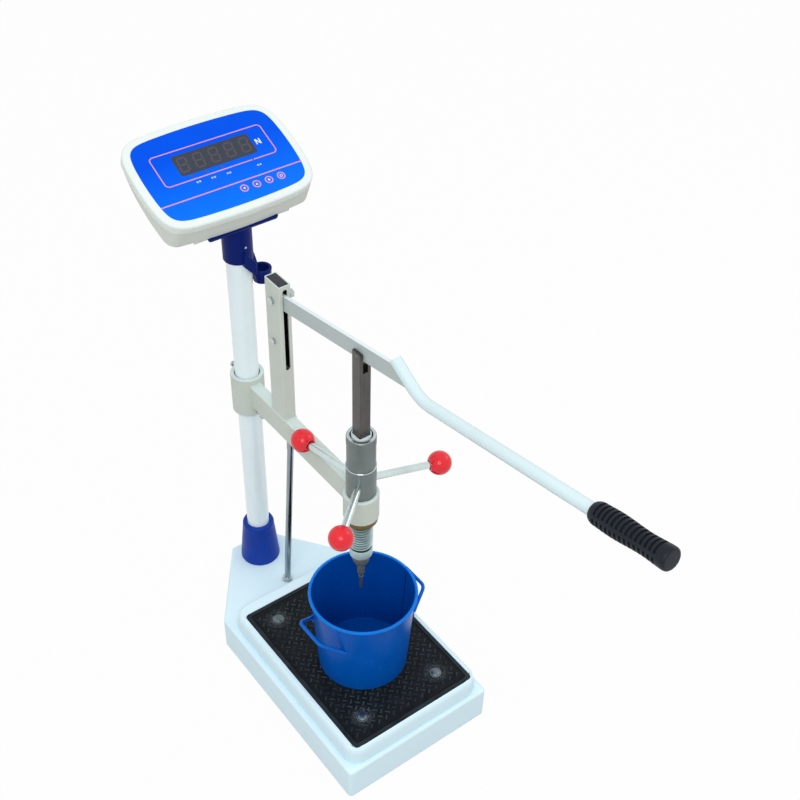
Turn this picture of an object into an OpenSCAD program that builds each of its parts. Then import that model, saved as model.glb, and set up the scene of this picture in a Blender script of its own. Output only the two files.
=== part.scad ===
// Concrete penetrometer: a hand lever presses a needle into a test mould that stands on a platform scale.
// Lengths are in millimetres and angles in degrees, with +Z up and the operator's side at -Y.
// Sizes are measured from the needle axis; y_shift then moves all pieces so the origin is under the middle.

/* [Base] */
// Width of the base cover
base_w = 270; // [264:1:278]
// Needle axis to the front edge of the cover
base_front = 161; // [158:1:166]
// Needle axis back to where the tail starts to narrow
base_rear = 210; // [204:1:216]
// Needle axis back to the end of the tail
base_tail = 346; // [344:1:356]
// Width of the tail end
tail_w = 72; // [68:1:82]
// Height of the cover's flat ledge over the floor
ledge_z = 65; // [62:1:68]
// Sheet thickness of the cover
sheet = 1.5; // [1.2:0.1:2]
// Corner radius of the cover
cover_r = 7; // [5:0.5:10]
// Height of the cover's lower edge over the floor
foot_gap = 4; // [3:0.5:5]
// Radius of a rubber foot
foot_r = 14; // [11:0.5:16]
// Thickness of the base plate
plate_t = 3; // [2.5:0.5:4]

/* [Weighing pan] */
// Width of the pan
pan_w = 250; // [246:1:254]
// Needle axis to the front face of the pan
pan_front = 154; // [152:1:156]
// Needle axis to the rear face of the pan
pan_rear = 196; // [192:1:200]
// Height of the pan's rim over the floor
pan_z = 99; // [94:1:104]
// Corner radius of the pan in plan
pan_r = 24; // [20:1:28]
// Edge radius of the pan's rim
pan_edge = 6; // [4:0.5:6.5]
// Gap between the pan and the cover
pan_gap = 1.5; // [1:0.1:2]
// How deep the pan's skirt dips into the cover
pan_dip = 8; // [6:0.5:10]
// Width of the white rim beside the mat
rim_side = 11; // [10:0.5:13]
// Width of the white rim in front of the mat
rim_front = 7; // [7:0.5:10]
// Width of the white rim behind the mat
rim_rear = 24; // [18:0.5:26]
// Thickness of the rubber mat
mat_t = 3.5; // [3:0.5:4]
// Depth of the mat's recess in the pan
mat_sink = 3; // [2.5:0.1:3.4]
// Corner radius of the mat
mat_r = 6; // [4:0.5:8]
// Half spacing of the mat screws across the pan
mat_screw_x = 72; // [68:1:76]
// Needle axis to the front mat screws
mat_screw_front = 105; // [100:1:110]
// Needle axis to the rear mat screws
mat_screw_rear = 135; // [130:1:140]
// Radius of a mat screw's head
mat_screw_r = 7; // [6:0.25:8]

/* [Column] */
// Needle axis to the column axis
column_y = 308; // [306:0.5:311]
// Outer radius of the column tube
column_r = 19; // [18:0.5:20]
// Wall of the round and square tubes
tube_wall = 2; // [1.5:0.25:2.5]
// Height of the column's top end
column_top = 745; // [742:1:750]
// Bottom radius of the blue boot
boot_r = 34; // [32:0.5:36]
// Radius of the boot under its rounded lip
boot_top_r = 26.5; // [25.5:0.25:28]
// Height of the boot
boot_h = 84; // [80:1:90]
// Radius of the boot's lip
boot_lip = 6; // [4:0.5:7]
// Radius of the column flange under the boot
flange_r = 28; // [26:0.5:29]
// Thickness of the column flange
flange_t = 8; // [6:1:10]

/* [Lever frame] */
// Outer radius of the collar on the column
clamp_r = 26.5; // [26:0.5:28]
// Lower end of the collar on the column
clamp_low = 410; // [406:1:412]
// Upper end of the collar on the column
clamp_top = 482; // [479:1:488]
// Gap between the collar and the column
clamp_gap = 1.2; // [0.8:0.1:1.4]
// Width of the square tubes of the arm and the upright
tube_w = 20; // [19:0.5:21]
// Height of the arm tube
arm_h = 40; // [38:1:41]
// Underside of the arm tube
arm_z = 430.5; // [430:0.5:432]
// Outer radius of the collar round the screw
head_r = 26.5; // [26:0.25:27.5]
// Lower end of the collar round the screw
head_low = 424; // [423:0.5:426]
// Upper end of the collar round the screw
head_top = 464.5; // [463.5:0.5:464.5]
// Radius of the brass nut's flange
nut_r = 25; // [24:0.25:26]
// Height of the brass nut's flange
nut_flange = 9.5; // [8:0.5:11]
// Needle axis to the upright's middle
upright_y = 202; // [200:0.5:204]
// Depth of the upright tube
upright_d = 38; // [37:0.5:40]
// Top of the upright with its cap
upright_top = 716; // [715.5:0.5:719]
// Width of the upright's slot
slot_w = 8; // [7.5:0.25:9]
// Lower end of the upright's slot
slot_low = 566; // [560:1:575]
// Upper end of the upright's slot
slot_top = 710; // [707:0.5:711]
// Height of the lever's pivot
pivot_z = 685.5; // [684.5:0.5:686.5]
// Radius of the pivot bolt
pivot_r = 3.5; // [3:0.25:4]
// Height of the lower cross bolt
stop_z = 614; // [606:1:622]
// Radius of the lower cross bolt
stop_r = 3; // [2.75:0.25:3.5]
// Radius of the tie rod
tie_r = 4; // [3.5:0.25:4.25]
// Needle axis to the tie rod's foot
tie_foot_y = 226; // [222:1:230]
// Sideways place of the tie rod
tie_x = 4; // [0:0.5:6]
// Needle axis to the tie rod's top
tie_top_y = 192; // [188:1:198]

/* [Lever] */
// Angle of the raised lever over the level
lever_angle = 10.3; // [10:0.1:10.6]
// Height of the lever bar
bar_h = 25; // [24:0.5:26]
// Thickness of the lever bar
bar_t = 6; // [5:0.25:6.5]
// How far the bar's middle lies below its pivot
bar_sink = 2; // [0:0.5:3]
// Outer radius of the handle tube
handle_r = 8.25; // [7.75:0.25:8.75]
// Pivot to the corner where the handle tube bends
bend_s = 329; // [326:0.5:332]
// How far the handle tube runs below the bar's middle
handle_drop = 22; // [20:0.5:23]
// Angle of the bend in the handle tube
bend_angle = 40; // [37:0.5:43]
// Middle radius of the bend
bend_r = 56; // [52:0.5:60]
// Straight length of the tube's welded stub
stub_l = 41; // [38:0.5:44]
// Pivot to the start of the grip
grip_start = 633; // [628:1:638]
// Length of the grip
grip_l = 111; // [108:1:116]
// Largest radius of the grip
grip_r = 14.75; // [14.25:0.25:15.5]
// Radius of the grip's waist
grip_waist = 13; // [12.5:0.25:13.5]
// Radius of the grip's rounded front edge
grip_shoulder = 11.5; // [11:0.25:12]
// Radius of the grip's flat end
grip_end_r = 14.25; // [13.75:0.25:15]
// Chamfer round the grip's flat end
grip_edge = 3; // [2:0.25:4]

/* [Needle and screw] */
// Side of the square plunger bar
plunger_w = 18; // [17.5:0.25:18.5]
// Top of the plunger's fork
plunger_top = 721; // [720:0.5:722]
// Bottom of the fork's slot
fork_low = 689; // [686:0.5:690]
// Radius of the round shaft below the square part
shaft_r = 10; // [9.5:0.25:10.25]
// Height of the cross pin
pin_z = 715.5; // [715.25:0.25:715.75]
// Radius of the cross pin
pin_r = 2.5; // [2.25:0.25:2.5]
// Largest radius of the feed screw's thread
screw_r = 17; // [16.75:0.25:17.25]
// Pitch of the feed screw's thread
pitch = 5; // [4.5:0.5:5.5]
// Depth of the thread
thread_deep = 1.6; // [1.2:0.1:1.8]
// Lower end of the thread
thread_low = 353; // [352:0.5:355]
// Lower end of the feed screw
screw_low = 334.7; // [333.5:0.1:336]
// Radius of the handwheel's hub
hub_r = 22; // [21.75:0.25:22.5]
// Radius of the sleeve over the hub
sleeve_r = 21; // [20.5:0.25:21.25]
// Height of the hub up to the step
step_up = 53; // [50:1:58]
// Height of the hub and the sleeve together
sleeve_h = 105; // [103:0.5:107]
// Outer radius of the guide bush
bush_r = 16; // [15.5:0.25:16.5]
// Gap between the balls and the arm under them
ball_clear = 1; // [1:0.25:3]
// Radius of a spoke
spoke_r = 4; // [3.5:0.25:4.5]
// Needle axis to the middle of a ball
ball_reach = 117.8; // [115:0.2:118]
// Radius of a ball
ball_r = 17.5; // [16.5:0.25:18]
// Turn of the handwheel about the needle axis
wheel_turn = -19; // [-24:1:-14]
// Radius of the needle chuck
chuck_r = 12.5; // [12:0.25:13.5]
// Lower end of the needle chuck
chuck_low = 315; // [313:0.5:317]
// Radius of the chuck's nose
nose_r = 6.5; // [6:0.25:7.5]
// Lower end of the chuck's nose
nose_low = 290; // [288:0.5:292]
// Radius of the needle
needle_r = 2.5; // [2.25:0.25:3]
// Height of the needle's tip
tip_z = 257.5; // [256:0.5:259]
// Tip to the ring mark on the needle
mark_up = 25; // [24:0.5:26]

/* [Mould] */
// Inner radius of the mould at its floor
mould_low_r = 70.5; // [69:0.5:74]
// Inner radius of the mould at its rim
mould_top_r = 80; // [78:0.5:82]
// Inner height of the mould
mould_h = 150; // [146:1:152]
// Thickness of the mould's floor
mould_floor = 4; // [3:0.5:6]
// Wall of the mould
mould_wall = 1.2; // [1:0.1:2]
// Radius of the rolled rim
rim_bead = 2.4; // [2:0.1:2.8]
// Needle axis to the mould's middle
mould_y = -6; // [-10:1:0]
// Radius of the mould's handle wire
wire_r = 2.3; // [2:0.1:2.6]
// Height of the handle's weld over the mat
weld_up = 97.5; // [92:0.5:102]
// Height of the handle's outer bar over the mat
loop_up = 123; // [118:0.5:126]
// Mould axis to the handle's outer bar
loop_out = 100; // [98:0.5:102]
// Half length of the handle's outer bar
loop_half = 26.5; // [24:0.5:29]
// Half angle between a handle's two welds
weld_angle = 32; // [29:1:35]

/* [Indicator] */
// Width of the indicator's bezel
bezel_w = 254; // [248:1:258]
// Height of the indicator's bezel
bezel_h = 172; // [168:1:176]
// Bulge of the bezel's sides
bow_side = 9; // [6:0.5:11]
// Bulge of the bezel's top and bottom
bow_end = 7; // [5:0.5:9]
// Corner radius of the bezel
bezel_r = 30; // [26:1:34]
// Corner radius of the housing behind the bezel
back_r = 20; // [18:1:26]
// Thickness of the bezel
bezel_t = 14; // [12:0.5:16]
// Depth of the housing at its lower edge
deep_low = 45; // [43:0.5:47]
// Depth of the housing at its upper edge
deep_top = 20; // [19:0.5:22]
// Wall of the housing
case_wall = 2.5; // [2:0.25:3]
// Slope of the panel from the level
panel_slope = 23.7; // [23:0.1:24.5]
// Needle axis to the middle of the panel
panel_y = 342; // [341:0.5:343]
// Height of the middle of the panel
panel_z = 833.4; // [832.5:0.1:834.5]
// White border round the blue overlay
border = 12; // [10:0.5:14]
// Thickness of the overlay
overlay_t = 0.6; // [0.4:0.1:0.8]
// Width of the display window
window_w = 116; // [112:1:120]
// Height of the display window
window_h = 34; // [32:0.5:36]
// Middle of the window over the panel's middle
window_y = 15.5; // [14:0.5:17]
// Radius of a key
key_r = 6.2; // [5.5:0.1:6.5]
// First key's place to the right of the middle
key_x = 11; // [9:0.5:12]
// Spacing of the keys
key_step = 20.2; // [19:0.1:21]
// Keys below the panel's middle
key_y = -51; // [-53:0.5:-49]
// Radius of the blue column head
socket_r = 22.5; // [22:0.25:23.5]
// Lower end of the column head
socket_low = 695.5; // [692:0.5:698]
// Column axis to the side ring
ring_x = 38; // [37:0.5:40]
// Outer radius of the side ring
ring_r = 13.5; // [13:0.25:14]
// Bore radius of the side ring
ring_bore = 9.5; // [9:0.25:10]
// Top of the side ring
ring_top = 663.5; // [660:0.5:666]
// Height of the side ring
ring_h = 22; // [20:0.5:24]
// Half width of the bracket plate under the housing
bracket_w = 57; // [54:0.5:60]
// Thickness of the bracket plate
bracket_t = 5; // [4.5:0.25:5]

/* [Fits] */
// Running gap of shafts and guides
run = 0.05; // [0.02:0.01:0.08]
// Free gap beside parts that move
free = 0.35; // [0.3:0.05:0.5]
// Loose gap of bolts and screws in their holes
loose = 0.1; // [0.05:0.05:0.2]

/* [Hidden] */
$fn = 64;
eps = 1;
plate_z = foot_gap + 2;
cover_under = ledge_z - sheet;
pan_d = pan_front + pan_rear;
pan_mid = (pan_rear - pan_front) / 2;
pan_low = ledge_z - pan_dip;
mat_w = pan_w - 2 * rim_side;
mat_d = pan_d - rim_front - rim_rear;
mat_mid = pan_mid + (rim_front - rim_rear) / 2;
mat_z = pan_z - mat_sink;
mat_top = mat_z + mat_t;
pan_floor = mat_z - sheet;
spider_t = 4;
spider_z = pan_floor - spider_t;
cell_z = 40;
cell_h = 24;
cell_w = 32;
cell_l = 150;
cell_block = 44;
cell_hole_r = 8;
cell_hole_x = 20;
mat_shank = 3;
flange_z = ledge_z + flange_t;
spigot_r = column_r - tube_wall - loose;
boot_top = ledge_z + boot_h;
boot_wall = 3;
arm_mid = arm_z + arm_h / 2;
arm_top = arm_z + arm_h;
clamp_bolt_r = 3;
clamp_bolt_l = 15;
clamp_head_r = 2 * clamp_bolt_r;
clamp_bolt_up = clamp_top - 12;
clamp_bolt_low = clamp_low + 8;
hex_flat = 0.866;
cap_t = 3;
cap_dip = 0.5;
cap_plug = 12;
bolt_head_h = 4;
pivot_head = 1.8 * pivot_r;
stop_head = 1.8 * stop_r;
tie_rise = arm_z - ledge_z;
tie_lean = atan((tie_foot_y - tie_top_y) / tie_rise);
tie_length = tie_rise / cos(tie_lean);
tie_below = 14;
tie_sleeve_l = 30;
tie_nut_h = 6;
washer_t = 1.6;
bar_tail = 14;
bend_tan = bend_r * tan(bend_angle / 2);
bend_end = bend_s + bend_tan;
bend_lap = 1;
bend_thin = 0.06;
stub_s = bend_s - bend_tan * cos(bend_angle);
stub_h = -handle_drop + bend_tan * sin(bend_angle);
grip_ribs = 14;
grip_end = grip_start + grip_l;
grip_plug = 12;
rib_deep = 1;
pin_dz = pin_z - pivot_z;
pin_s = upright_y * cos(lever_angle) + pin_dz * sin(lever_angle);
pin_h = pin_dz * cos(lever_angle) - upright_y * sin(lever_angle);
pin_slide = 1.6;
spoke_z = arm_top + ball_r + ball_clear;
hub_low = head_top + 0.5;
step_z = hub_low + step_up;
sleeve_top = hub_low + sleeve_h;
hub_socket = hub_low + 15;
bush_low = sleeve_top - 25;
square_low = bush_low - 1;
cap_z = sleeve_top - 10;
mouth_r = bush_r - 1.5;
hub_bore = plunger_w * 0.755;
thread_turns = floor((head_top - thread_low) / pitch);
thread_root = screw_r - thread_deep;
chuck_top = screw_low - 0.5;
mould_height = mould_floor + mould_h;
mould_top = mat_top + mould_height;
bead_in = 0.4;
needle_in = 15;
tilt_back = atan((deep_low - deep_top) / bezel_h);
boss_t = 5;
boss_w = 80;
boss_h = 78;
bracket_in = 0.5;
case_in = 1.5;
corner_proud = 0.08;
key_t = 4;
key_proud = 0.5;
key_travel = 0.5;
window_t = 3;
board_t = 1.6;
board_edge = key_r + 2;
board_w = bezel_w - 60;
board_h = window_y + window_h / 2 - key_y + 3 * board_edge;
post_r = 3.5;
digit_step = window_w / 5.3;
digit_w = digit_step - 3;
digit_h = window_h - 6;
board_z = -bezel_t - 3;
ring_low = ring_top - ring_h;
grip_drop = handle_drop + grip_end_r - grip_edge;
y_min = upright_y - grip_end * cos(lever_angle) - grip_drop * sin(lever_angle);
case_half = bezel_h / 2 - case_in;
deep_back = deep_top + case_in * tan(tilt_back);
y_max = panel_y + case_half * cos(panel_slope) + deep_back * sin(panel_slope);
y_shift = -(y_min + y_max) / 2;
base_pts = [
    [-base_w / 2, -base_front],
    [base_w / 2, -base_front],
    [base_w / 2, base_rear],
    [tail_w / 2, base_tail],
    [-tail_w / 2, base_tail],
    [-base_w / 2, base_rear]
];
spoke_angles = [wheel_turn, wheel_turn + 120, wheel_turn + 240];

function unit(v) = v / norm(v);
function before(p, i) = p[(i + len(p) - 1) % len(p)];
function after(p, i) = p[(i + 1) % len(p)];
function half_angle(p, i) = acos(unit(before(p, i) - p[i]) * unit(after(p, i) - p[i])) / 2;
function inward(p, i) = unit(unit(before(p, i) - p[i]) + unit(after(p, i) - p[i]));
function inset(p, d) = [for (i = [0 : len(p) - 1]) p[i] + inward(p, i) * d / sin(half_angle(p, i))];
function chopped(p, r) = [
    for (i = [0 : len(p) - 1])
        for (q = [before(p, i), after(p, i)])
            p[i] + unit(q - p[i]) * r / tan(half_angle(p, i))
];

// Meeting point of two circles on the side of positive x and y
function meet_a(c, r, d, s) = (r * r - s * s + norm(d - c) * norm(d - c)) / (2 * norm(d - c));
function meet_h(c, r, d, s) = sqrt(r * r - meet_a(c, r, d, s) * meet_a(c, r, d, s));
function turned(v) = [-v[1], v[0]];
function meet(c, r, d, s) = c + unit(d - c) * meet_a(c, r, d, s) + turned(unit(d - c)) * meet_h(c, r, d, s);

module shift() {
    translate([0, y_shift, 0])
        children();
}

// Convex polygon with true round corners
module round_poly(p, r) {
    polygon(chopped(p, r));
    for (i = [0 : len(p) - 1])
        translate(p[i] + inward(p, i) * r / sin(half_angle(p, i)))
            circle(r);
}

module round_rect(w, d, r) {
    round_poly([[-w / 2, -d / 2], [w / 2, -d / 2], [w / 2, d / 2], [-w / 2, d / 2]], r);
}

// Side profile of a block whose outer upper edge is round
module edge_profile(t, h, r) {
    square([t - r, h]);
    square([t, h - r]);
    translate([t - r, h - r])
        circle(r);
}

// Block with round upright corners and a round upper edge
module soft_block(w, d, h, corner, edge) {
    translate([-w / 2 + corner, -d / 2 + corner, 0])
        cube([w - 2 * corner, d - 2 * corner, h]);
    for (side = [0, 180])
        rotate([0, 0, side]) {
            translate([w / 2 - corner, d / 2 - corner, 0])
                rotate([90, 0, 0])
                    linear_extrude(d - 2 * corner)
                        edge_profile(corner, h, edge);
            translate([-w / 2 + corner, d / 2 - corner, 0])
                rotate([90, 0, 90])
                    linear_extrude(w - 2 * corner)
                        edge_profile(corner, h, edge);
        }
    for (sx = [-1, 1])
        for (sy = [-1, 1])
            translate([sx * (w / 2 - corner), sy * (d / 2 - corner), 0])
                rotate([0, 0, sx > 0 ? (sy > 0 ? 0 : -90) : (sy > 0 ? 90 : 180)])
                    rotate_extrude(angle = 90)
                        edge_profile(corner, h, edge);
}

// Round rod from one point to another
module rod(p, q, r) {
    v = q - p;
    translate(p)
        rotate([0, acos(v[2] / norm(v)), atan2(v[1], v[0])])
            cylinder(h = norm(v), r = r);
}

// Outline with bowed sides and true round corners
module barrel(w, h, side, end, r) {
    rs = (h * h / 4 + side * side) / (2 * side);
    rt = (w * w / 4 + end * end) / (2 * end);
    cs = [w / 2 - rs, 0];
    ct = [0, h / 2 - rt];
    c = meet(cs, rs - r, ct, rt - r);
    ps = cs + unit(c - cs) * rs;
    pt = ct + unit(c - ct) * rt;
    out = turned(unit(ps - pt)) * 3 * r;
    difference() {
        intersection() {
            translate([w / 2 - rs, 0])
                circle(rs, $fn = 200);
            translate([rs - w / 2, 0])
                circle(rs, $fn = 200);
            translate([0, h / 2 - rt])
                circle(rt, $fn = 200);
            translate([0, rt - h / 2])
                circle(rt, $fn = 200);
        }
        for (mx = [0, 1])
            for (my = [0, 1])
                mirror([mx, 0])
                    mirror([0, my])
                        polygon([ps, pt, pt + out, ps + out]);
    }
    for (mx = [-1, 1])
        for (my = [-1, 1])
            translate([mx * c[0], my * c[1]])
                circle(r + corner_proud);
}

module lever_frame() {
    translate([0, upright_y, pivot_z])
        rotate([-lever_angle, 0, 0])
            children();
}

module panel_frame() {
    translate([0, panel_y, panel_z])
        rotate([panel_slope, 0, 0])
            children();
}

// Frame on the housing's sloping back, with z pointing into the housing
module back_frame() {
    panel_frame()
        translate([0, -bezel_h / 2, -deep_low])
            rotate([tilt_back, 0, 0])
                children();
}

module base_cover() {
    color("WhiteSmoke")
        shift()
            difference() {
                translate([0, 0, foot_gap])
                    linear_extrude(ledge_z - foot_gap)
                        round_poly(base_pts, cover_r);
                translate([0, 0, foot_gap - eps])
                    linear_extrude(cover_under - foot_gap + eps)
                        round_poly(inset(base_pts, sheet), cover_r - sheet);
                translate([0, pan_mid, cover_under - eps])
                    linear_extrude(sheet + 2 * eps)
                        round_rect(pan_w + 2 * pan_gap, pan_d + 2 * pan_gap, pan_r + pan_gap);
                translate([0, column_y, cover_under - eps])
                    cylinder(h = sheet + 2 * eps, r = spigot_r + loose);
                translate([tie_x, tie_foot_y, cover_under - eps])
                    cylinder(h = sheet + 2 * eps, r = tie_r + 2);
            }
}

module base_plate() {
    color("Gray")
        shift()
            translate([0, 0, plate_z])
                linear_extrude(plate_t)
                    round_poly(inset(base_pts, sheet), cover_r - sheet);
}

module rubber_feet() {
    color("DimGray")
        shift() {
            for (sx = [-1, 1])
                for (y = [-base_front + 30, base_rear - 30])
                    translate([sx * (base_w / 2 - 30), y, 0])
                        cylinder(h = plate_z, r = foot_r);
            translate([0, base_tail - 24, 0])
                cylinder(h = plate_z, r = foot_r);
        }
}

module load_cell() {
    color("Silver")
        shift()
            translate([-cell_w / 2, pan_mid - cell_l / 2, cell_z])
                difference() {
                    cube([cell_w, cell_l, cell_h]);
                    for (s = [-1, 1])
                        translate([-eps, cell_l / 2 + s * cell_hole_x / 2, cell_h / 2])
                            rotate([0, 90, 0])
                                cylinder(h = cell_w + 2 * eps, r = cell_hole_r);
                }
}

module cell_blocks() {
    color("Gray")
        shift() {
            translate([-cell_w / 2, pan_mid + cell_l / 2 - cell_block, plate_z + plate_t])
                cube([cell_w, cell_block, cell_z - plate_z - plate_t]);
            translate([-cell_w / 2, pan_mid - cell_l / 2, cell_z + cell_h])
                cube([cell_w, cell_block, spider_z - cell_z - cell_h]);
        }
}

module pan_spider() {
    color("Gray")
        shift()
            difference() {
                translate([-mat_screw_x - 14, -mat_screw_front - 14, spider_z])
                    cube([2 * mat_screw_x + 28, mat_screw_front + mat_screw_rear + 28, spider_t]);
                mat_screw_places()
                    translate([0, 0, spider_z - eps])
                        cylinder(h = spider_t + 2 * eps, r = mat_shank + loose);
            }
}

module mat_screw_places() {
    for (sx = [-1, 1])
        for (y = [-mat_screw_front, mat_screw_rear])
            translate([sx * mat_screw_x, y, 0])
                children();
}

module weigh_pan() {
    color("WhiteSmoke")
        shift()
            difference() {
                translate([0, pan_mid, pan_low])
                    soft_block(pan_w, pan_d, pan_z - pan_low, pan_r, pan_edge);
                translate([0, pan_mid, pan_low - eps])
                    linear_extrude(pan_floor - pan_low + eps)
                        round_rect(pan_w - 2 * sheet, pan_d - 2 * sheet, pan_r - sheet);
                translate([0, mat_mid, mat_z])
                    linear_extrude(mat_sink + eps)
                        round_rect(mat_w + 2 * loose, mat_d + 2 * loose, mat_r + loose);
                mat_screw_places()
                    translate([0, 0, pan_floor - eps])
                        cylinder(h = sheet + 2 * eps, r = mat_shank + loose);
            }
}

module rubber_mat() {
    color("Black")
        shift()
            difference() {
                translate([0, mat_mid, mat_z])
                    linear_extrude(mat_t)
                        round_rect(mat_w, mat_d, mat_r);
                mat_screw_places() {
                    translate([0, 0, mat_z - eps])
                        cylinder(h = mat_t + 2 * eps, r = mat_shank + loose);
                    translate([0, 0, mat_top - 1])
                        cylinder(h = 1 + eps, r = mat_screw_r + loose);
                }
            }
}

module mat_screws() {
    color("SlateGray")
        shift()
            mat_screw_places()
                difference() {
                    union() {
                        translate([0, 0, spider_z])
                            cylinder(h = mat_top - spider_z, r = mat_shank);
                        translate([0, 0, mat_top - 1])
                            cylinder(h = 2.2, r = mat_screw_r);
                    }
                    for (a = [0, 90])
                        rotate([0, 0, a])
                            translate([-4, -0.7, mat_top])
                                cube([8, 1.4, 2]);
                }
}

module column_post() {
    color("Gray")
        shift()
            translate([0, column_y, 0]) {
                translate([0, 0, plate_z + plate_t])
                    cylinder(h = cover_under - plate_z - plate_t, r = flange_r);
                translate([0, 0, plate_z + plate_t])
                    cylinder(h = flange_z + 20 - plate_z - plate_t, r = spigot_r);
            }
}

module column_flange() {
    color("Gray")
        shift()
            translate([0, column_y, ledge_z])
                difference() {
                    cylinder(h = flange_t, r = flange_r);
                    translate([0, 0, -eps])
                        cylinder(h = flange_t + 2 * eps, r = spigot_r + loose);
                }
}

module column_tube() {
    color("White")
        shift()
            translate([0, column_y, flange_z])
                difference() {
                    cylinder(h = column_top - flange_z, r = column_r);
                    translate([0, 0, -eps])
                        cylinder(h = column_top - flange_z + 2 * eps, r = column_r - tube_wall);
                }
}

module column_boot() {
    color("RoyalBlue")
        shift()
            translate([0, column_y, 0])
                difference() {
                    union() {
                        translate([0, 0, boot_top - boot_lip]) {
                            rotate_extrude()
                                translate([boot_top_r - boot_lip, 0])
                                    circle(boot_lip);
                            cylinder(h = boot_lip, r = boot_top_r - boot_lip);
                        }
                        translate([0, 0, ledge_z])
                            cylinder(h = boot_h - boot_lip, r1 = boot_r, r2 = boot_top_r - 0.8);
                    }
                    translate([0, 0, ledge_z - eps])
                        cylinder(h = boot_h + 2 * eps, r = column_r + loose);
                    translate([0, 0, ledge_z - eps])
                        cylinder(
                            h = boot_h - 2 * boot_lip,
                            r1 = boot_r - boot_wall,
                            r2 = boot_top_r - 0.8 - boot_wall
                        );
                }
}

// Frame of the leaning tie rod, with its origin where the rod passes the ledge
module tie_frame() {
    translate([tie_x, tie_foot_y, ledge_z])
        rotate([tie_lean, 0, 0])
            children();
}

module tie_rod() {
    color("Silver")
        shift()
            tie_frame()
                translate([0, 0, -tie_below])
                    cylinder(h = tie_below + tie_length - tie_sleeve_l, r = tie_r);
}

module tie_sleeve() {
    color("Silver")
        shift()
            difference() {
                tie_frame()
                    translate([0, 0, tie_length - tie_sleeve_l])
                        cylinder(h = tie_sleeve_l + 4, r = tie_r + 1.2);
                translate([-20, tie_top_y - 20, arm_z])
                    cube([40, 40, 10]);
            }
}

// Space of the rod in the nut and the washer
module tie_hole() {
    tie_frame()
        translate([0, 0, -tie_below])
            cylinder(h = 3 * tie_below, r = tie_r + loose);
}

module tie_nut() {
    color("Silver")
        shift()
            difference() {
                translate([tie_x, tie_foot_y, ledge_z + washer_t])
                    cylinder(h = tie_nut_h, r = 8, $fn = 6);
                tie_hole();
            }
}

module tie_washer() {
    color("Silver")
        shift()
            difference() {
                translate([tie_x, tie_foot_y, ledge_z])
                    cylinder(h = washer_t, r = 9.5);
                tie_hole();
            }
}

// Places of the two bolts that press on the column
module clamp_bolt_places() {
    translate([0, column_y, clamp_bolt_up])
        rotate([-90, 0, 0])
            children();
    translate([0, column_y, clamp_bolt_low])
        rotate([90, 0, 0])
            children();
}

module clamp_collar() {
    color("Gainsboro")
        shift()
            difference() {
                translate([0, column_y, clamp_low])
                    cylinder(h = clamp_top - clamp_low, r = clamp_r);
                translate([0, column_y, clamp_low - eps])
                    cylinder(h = clamp_top - clamp_low + 2 * eps, r = column_r + clamp_gap);
                clamp_bolt_places()
                    cylinder(h = clamp_r + eps, r = clamp_bolt_r + loose);
            }
}

module clamp_bolts() {
    color("Silver")
        shift()
            difference() {
                clamp_bolt_places() {
                    cylinder(h = column_r + clamp_bolt_l, r = clamp_bolt_r);
                    translate([0, 0, column_r + clamp_bolt_l - 1])
                        cylinder(h = bolt_head_h, r = clamp_head_r, $fn = 6);
                }
                translate([0, column_y, clamp_low])
                    cylinder(h = clamp_top - clamp_low, r = column_r);
            }
}

module arm_tube() {
    color("Gainsboro")
        shift()
            difference() {
                translate([-tube_w / 2, 0, arm_z])
                    cube([tube_w, column_y, arm_h]);
                translate([-tube_w / 2 + tube_wall, -eps, arm_z + tube_wall])
                    cube([tube_w - 2 * tube_wall, column_y + 2 * eps, arm_h - 2 * tube_wall]);
                translate([0, 0, arm_z - eps])
                    cylinder(h = arm_h + 2 * eps, r = head_r);
                translate([0, column_y, arm_z - eps])
                    cylinder(h = arm_h + 2 * eps, r = clamp_r);
            }
}

module head_collar() {
    color("Gainsboro")
        shift()
            rotate_extrude()
                polygon([
                    [screw_r + 4, head_low],
                    [head_r - 0.8, head_low],
                    [head_r, head_low + 0.8],
                    [head_r, head_top - 2],
                    [head_r - 2, head_top],
                    [screw_r + 4, head_top]
                ]);
}

module brass_nut() {
    color("Goldenrod")
        shift()
            rotate_extrude()
                polygon([
                    [screw_r + free, head_low - nut_flange],
                    [nut_r - 1, head_low - nut_flange],
                    [nut_r, head_low - nut_flange + 1],
                    [nut_r, head_low],
                    [screw_r + 4, head_low],
                    [screw_r + 4, head_top - 2],
                    [screw_r + free, head_top - 2]
                ]);
}

module upright_tube() {
    color("Gainsboro")
        shift()
            difference() {
                translate([-tube_w / 2, upright_y - upright_d / 2, arm_top])
                    cube([tube_w, upright_d, upright_top - arm_top]);
                translate([-tube_w / 2 + tube_wall, upright_y - upright_d / 2 + tube_wall, arm_top - eps])
                    cube([tube_w - 2 * tube_wall, upright_d - 2 * tube_wall, upright_top - arm_top + 2 * eps]);
                translate([-slot_w / 2, upright_y - upright_d / 2 - eps, slot_low])
                    cube([slot_w, tube_wall + 2 * eps, slot_top - slot_low]);
                translate([-tube_w, upright_y, pivot_z])
                    rotate([0, 90, 0])
                        cylinder(h = 2 * tube_w, r = pivot_r + loose);
                translate([-tube_w, upright_y, stop_z])
                    rotate([0, 90, 0])
                        cylinder(h = 2 * tube_w, r = stop_r + loose);
            }
}

module upright_cap() {
    color("Black")
        shift()
            difference() {
                translate([-tube_w / 2 + tube_wall, upright_y - upright_d / 2 + tube_wall, upright_top - cap_plug])
                    cube([tube_w - 2 * tube_wall, upright_d - 2 * tube_wall, cap_plug - cap_dip]);
                translate([-tube_w / 2 + 2 * tube_wall, upright_y - upright_d, upright_top - cap_plug - eps])
                    cube([tube_w - 4 * tube_wall, 2 * upright_d, cap_plug - cap_t]);
            }
}

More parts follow.
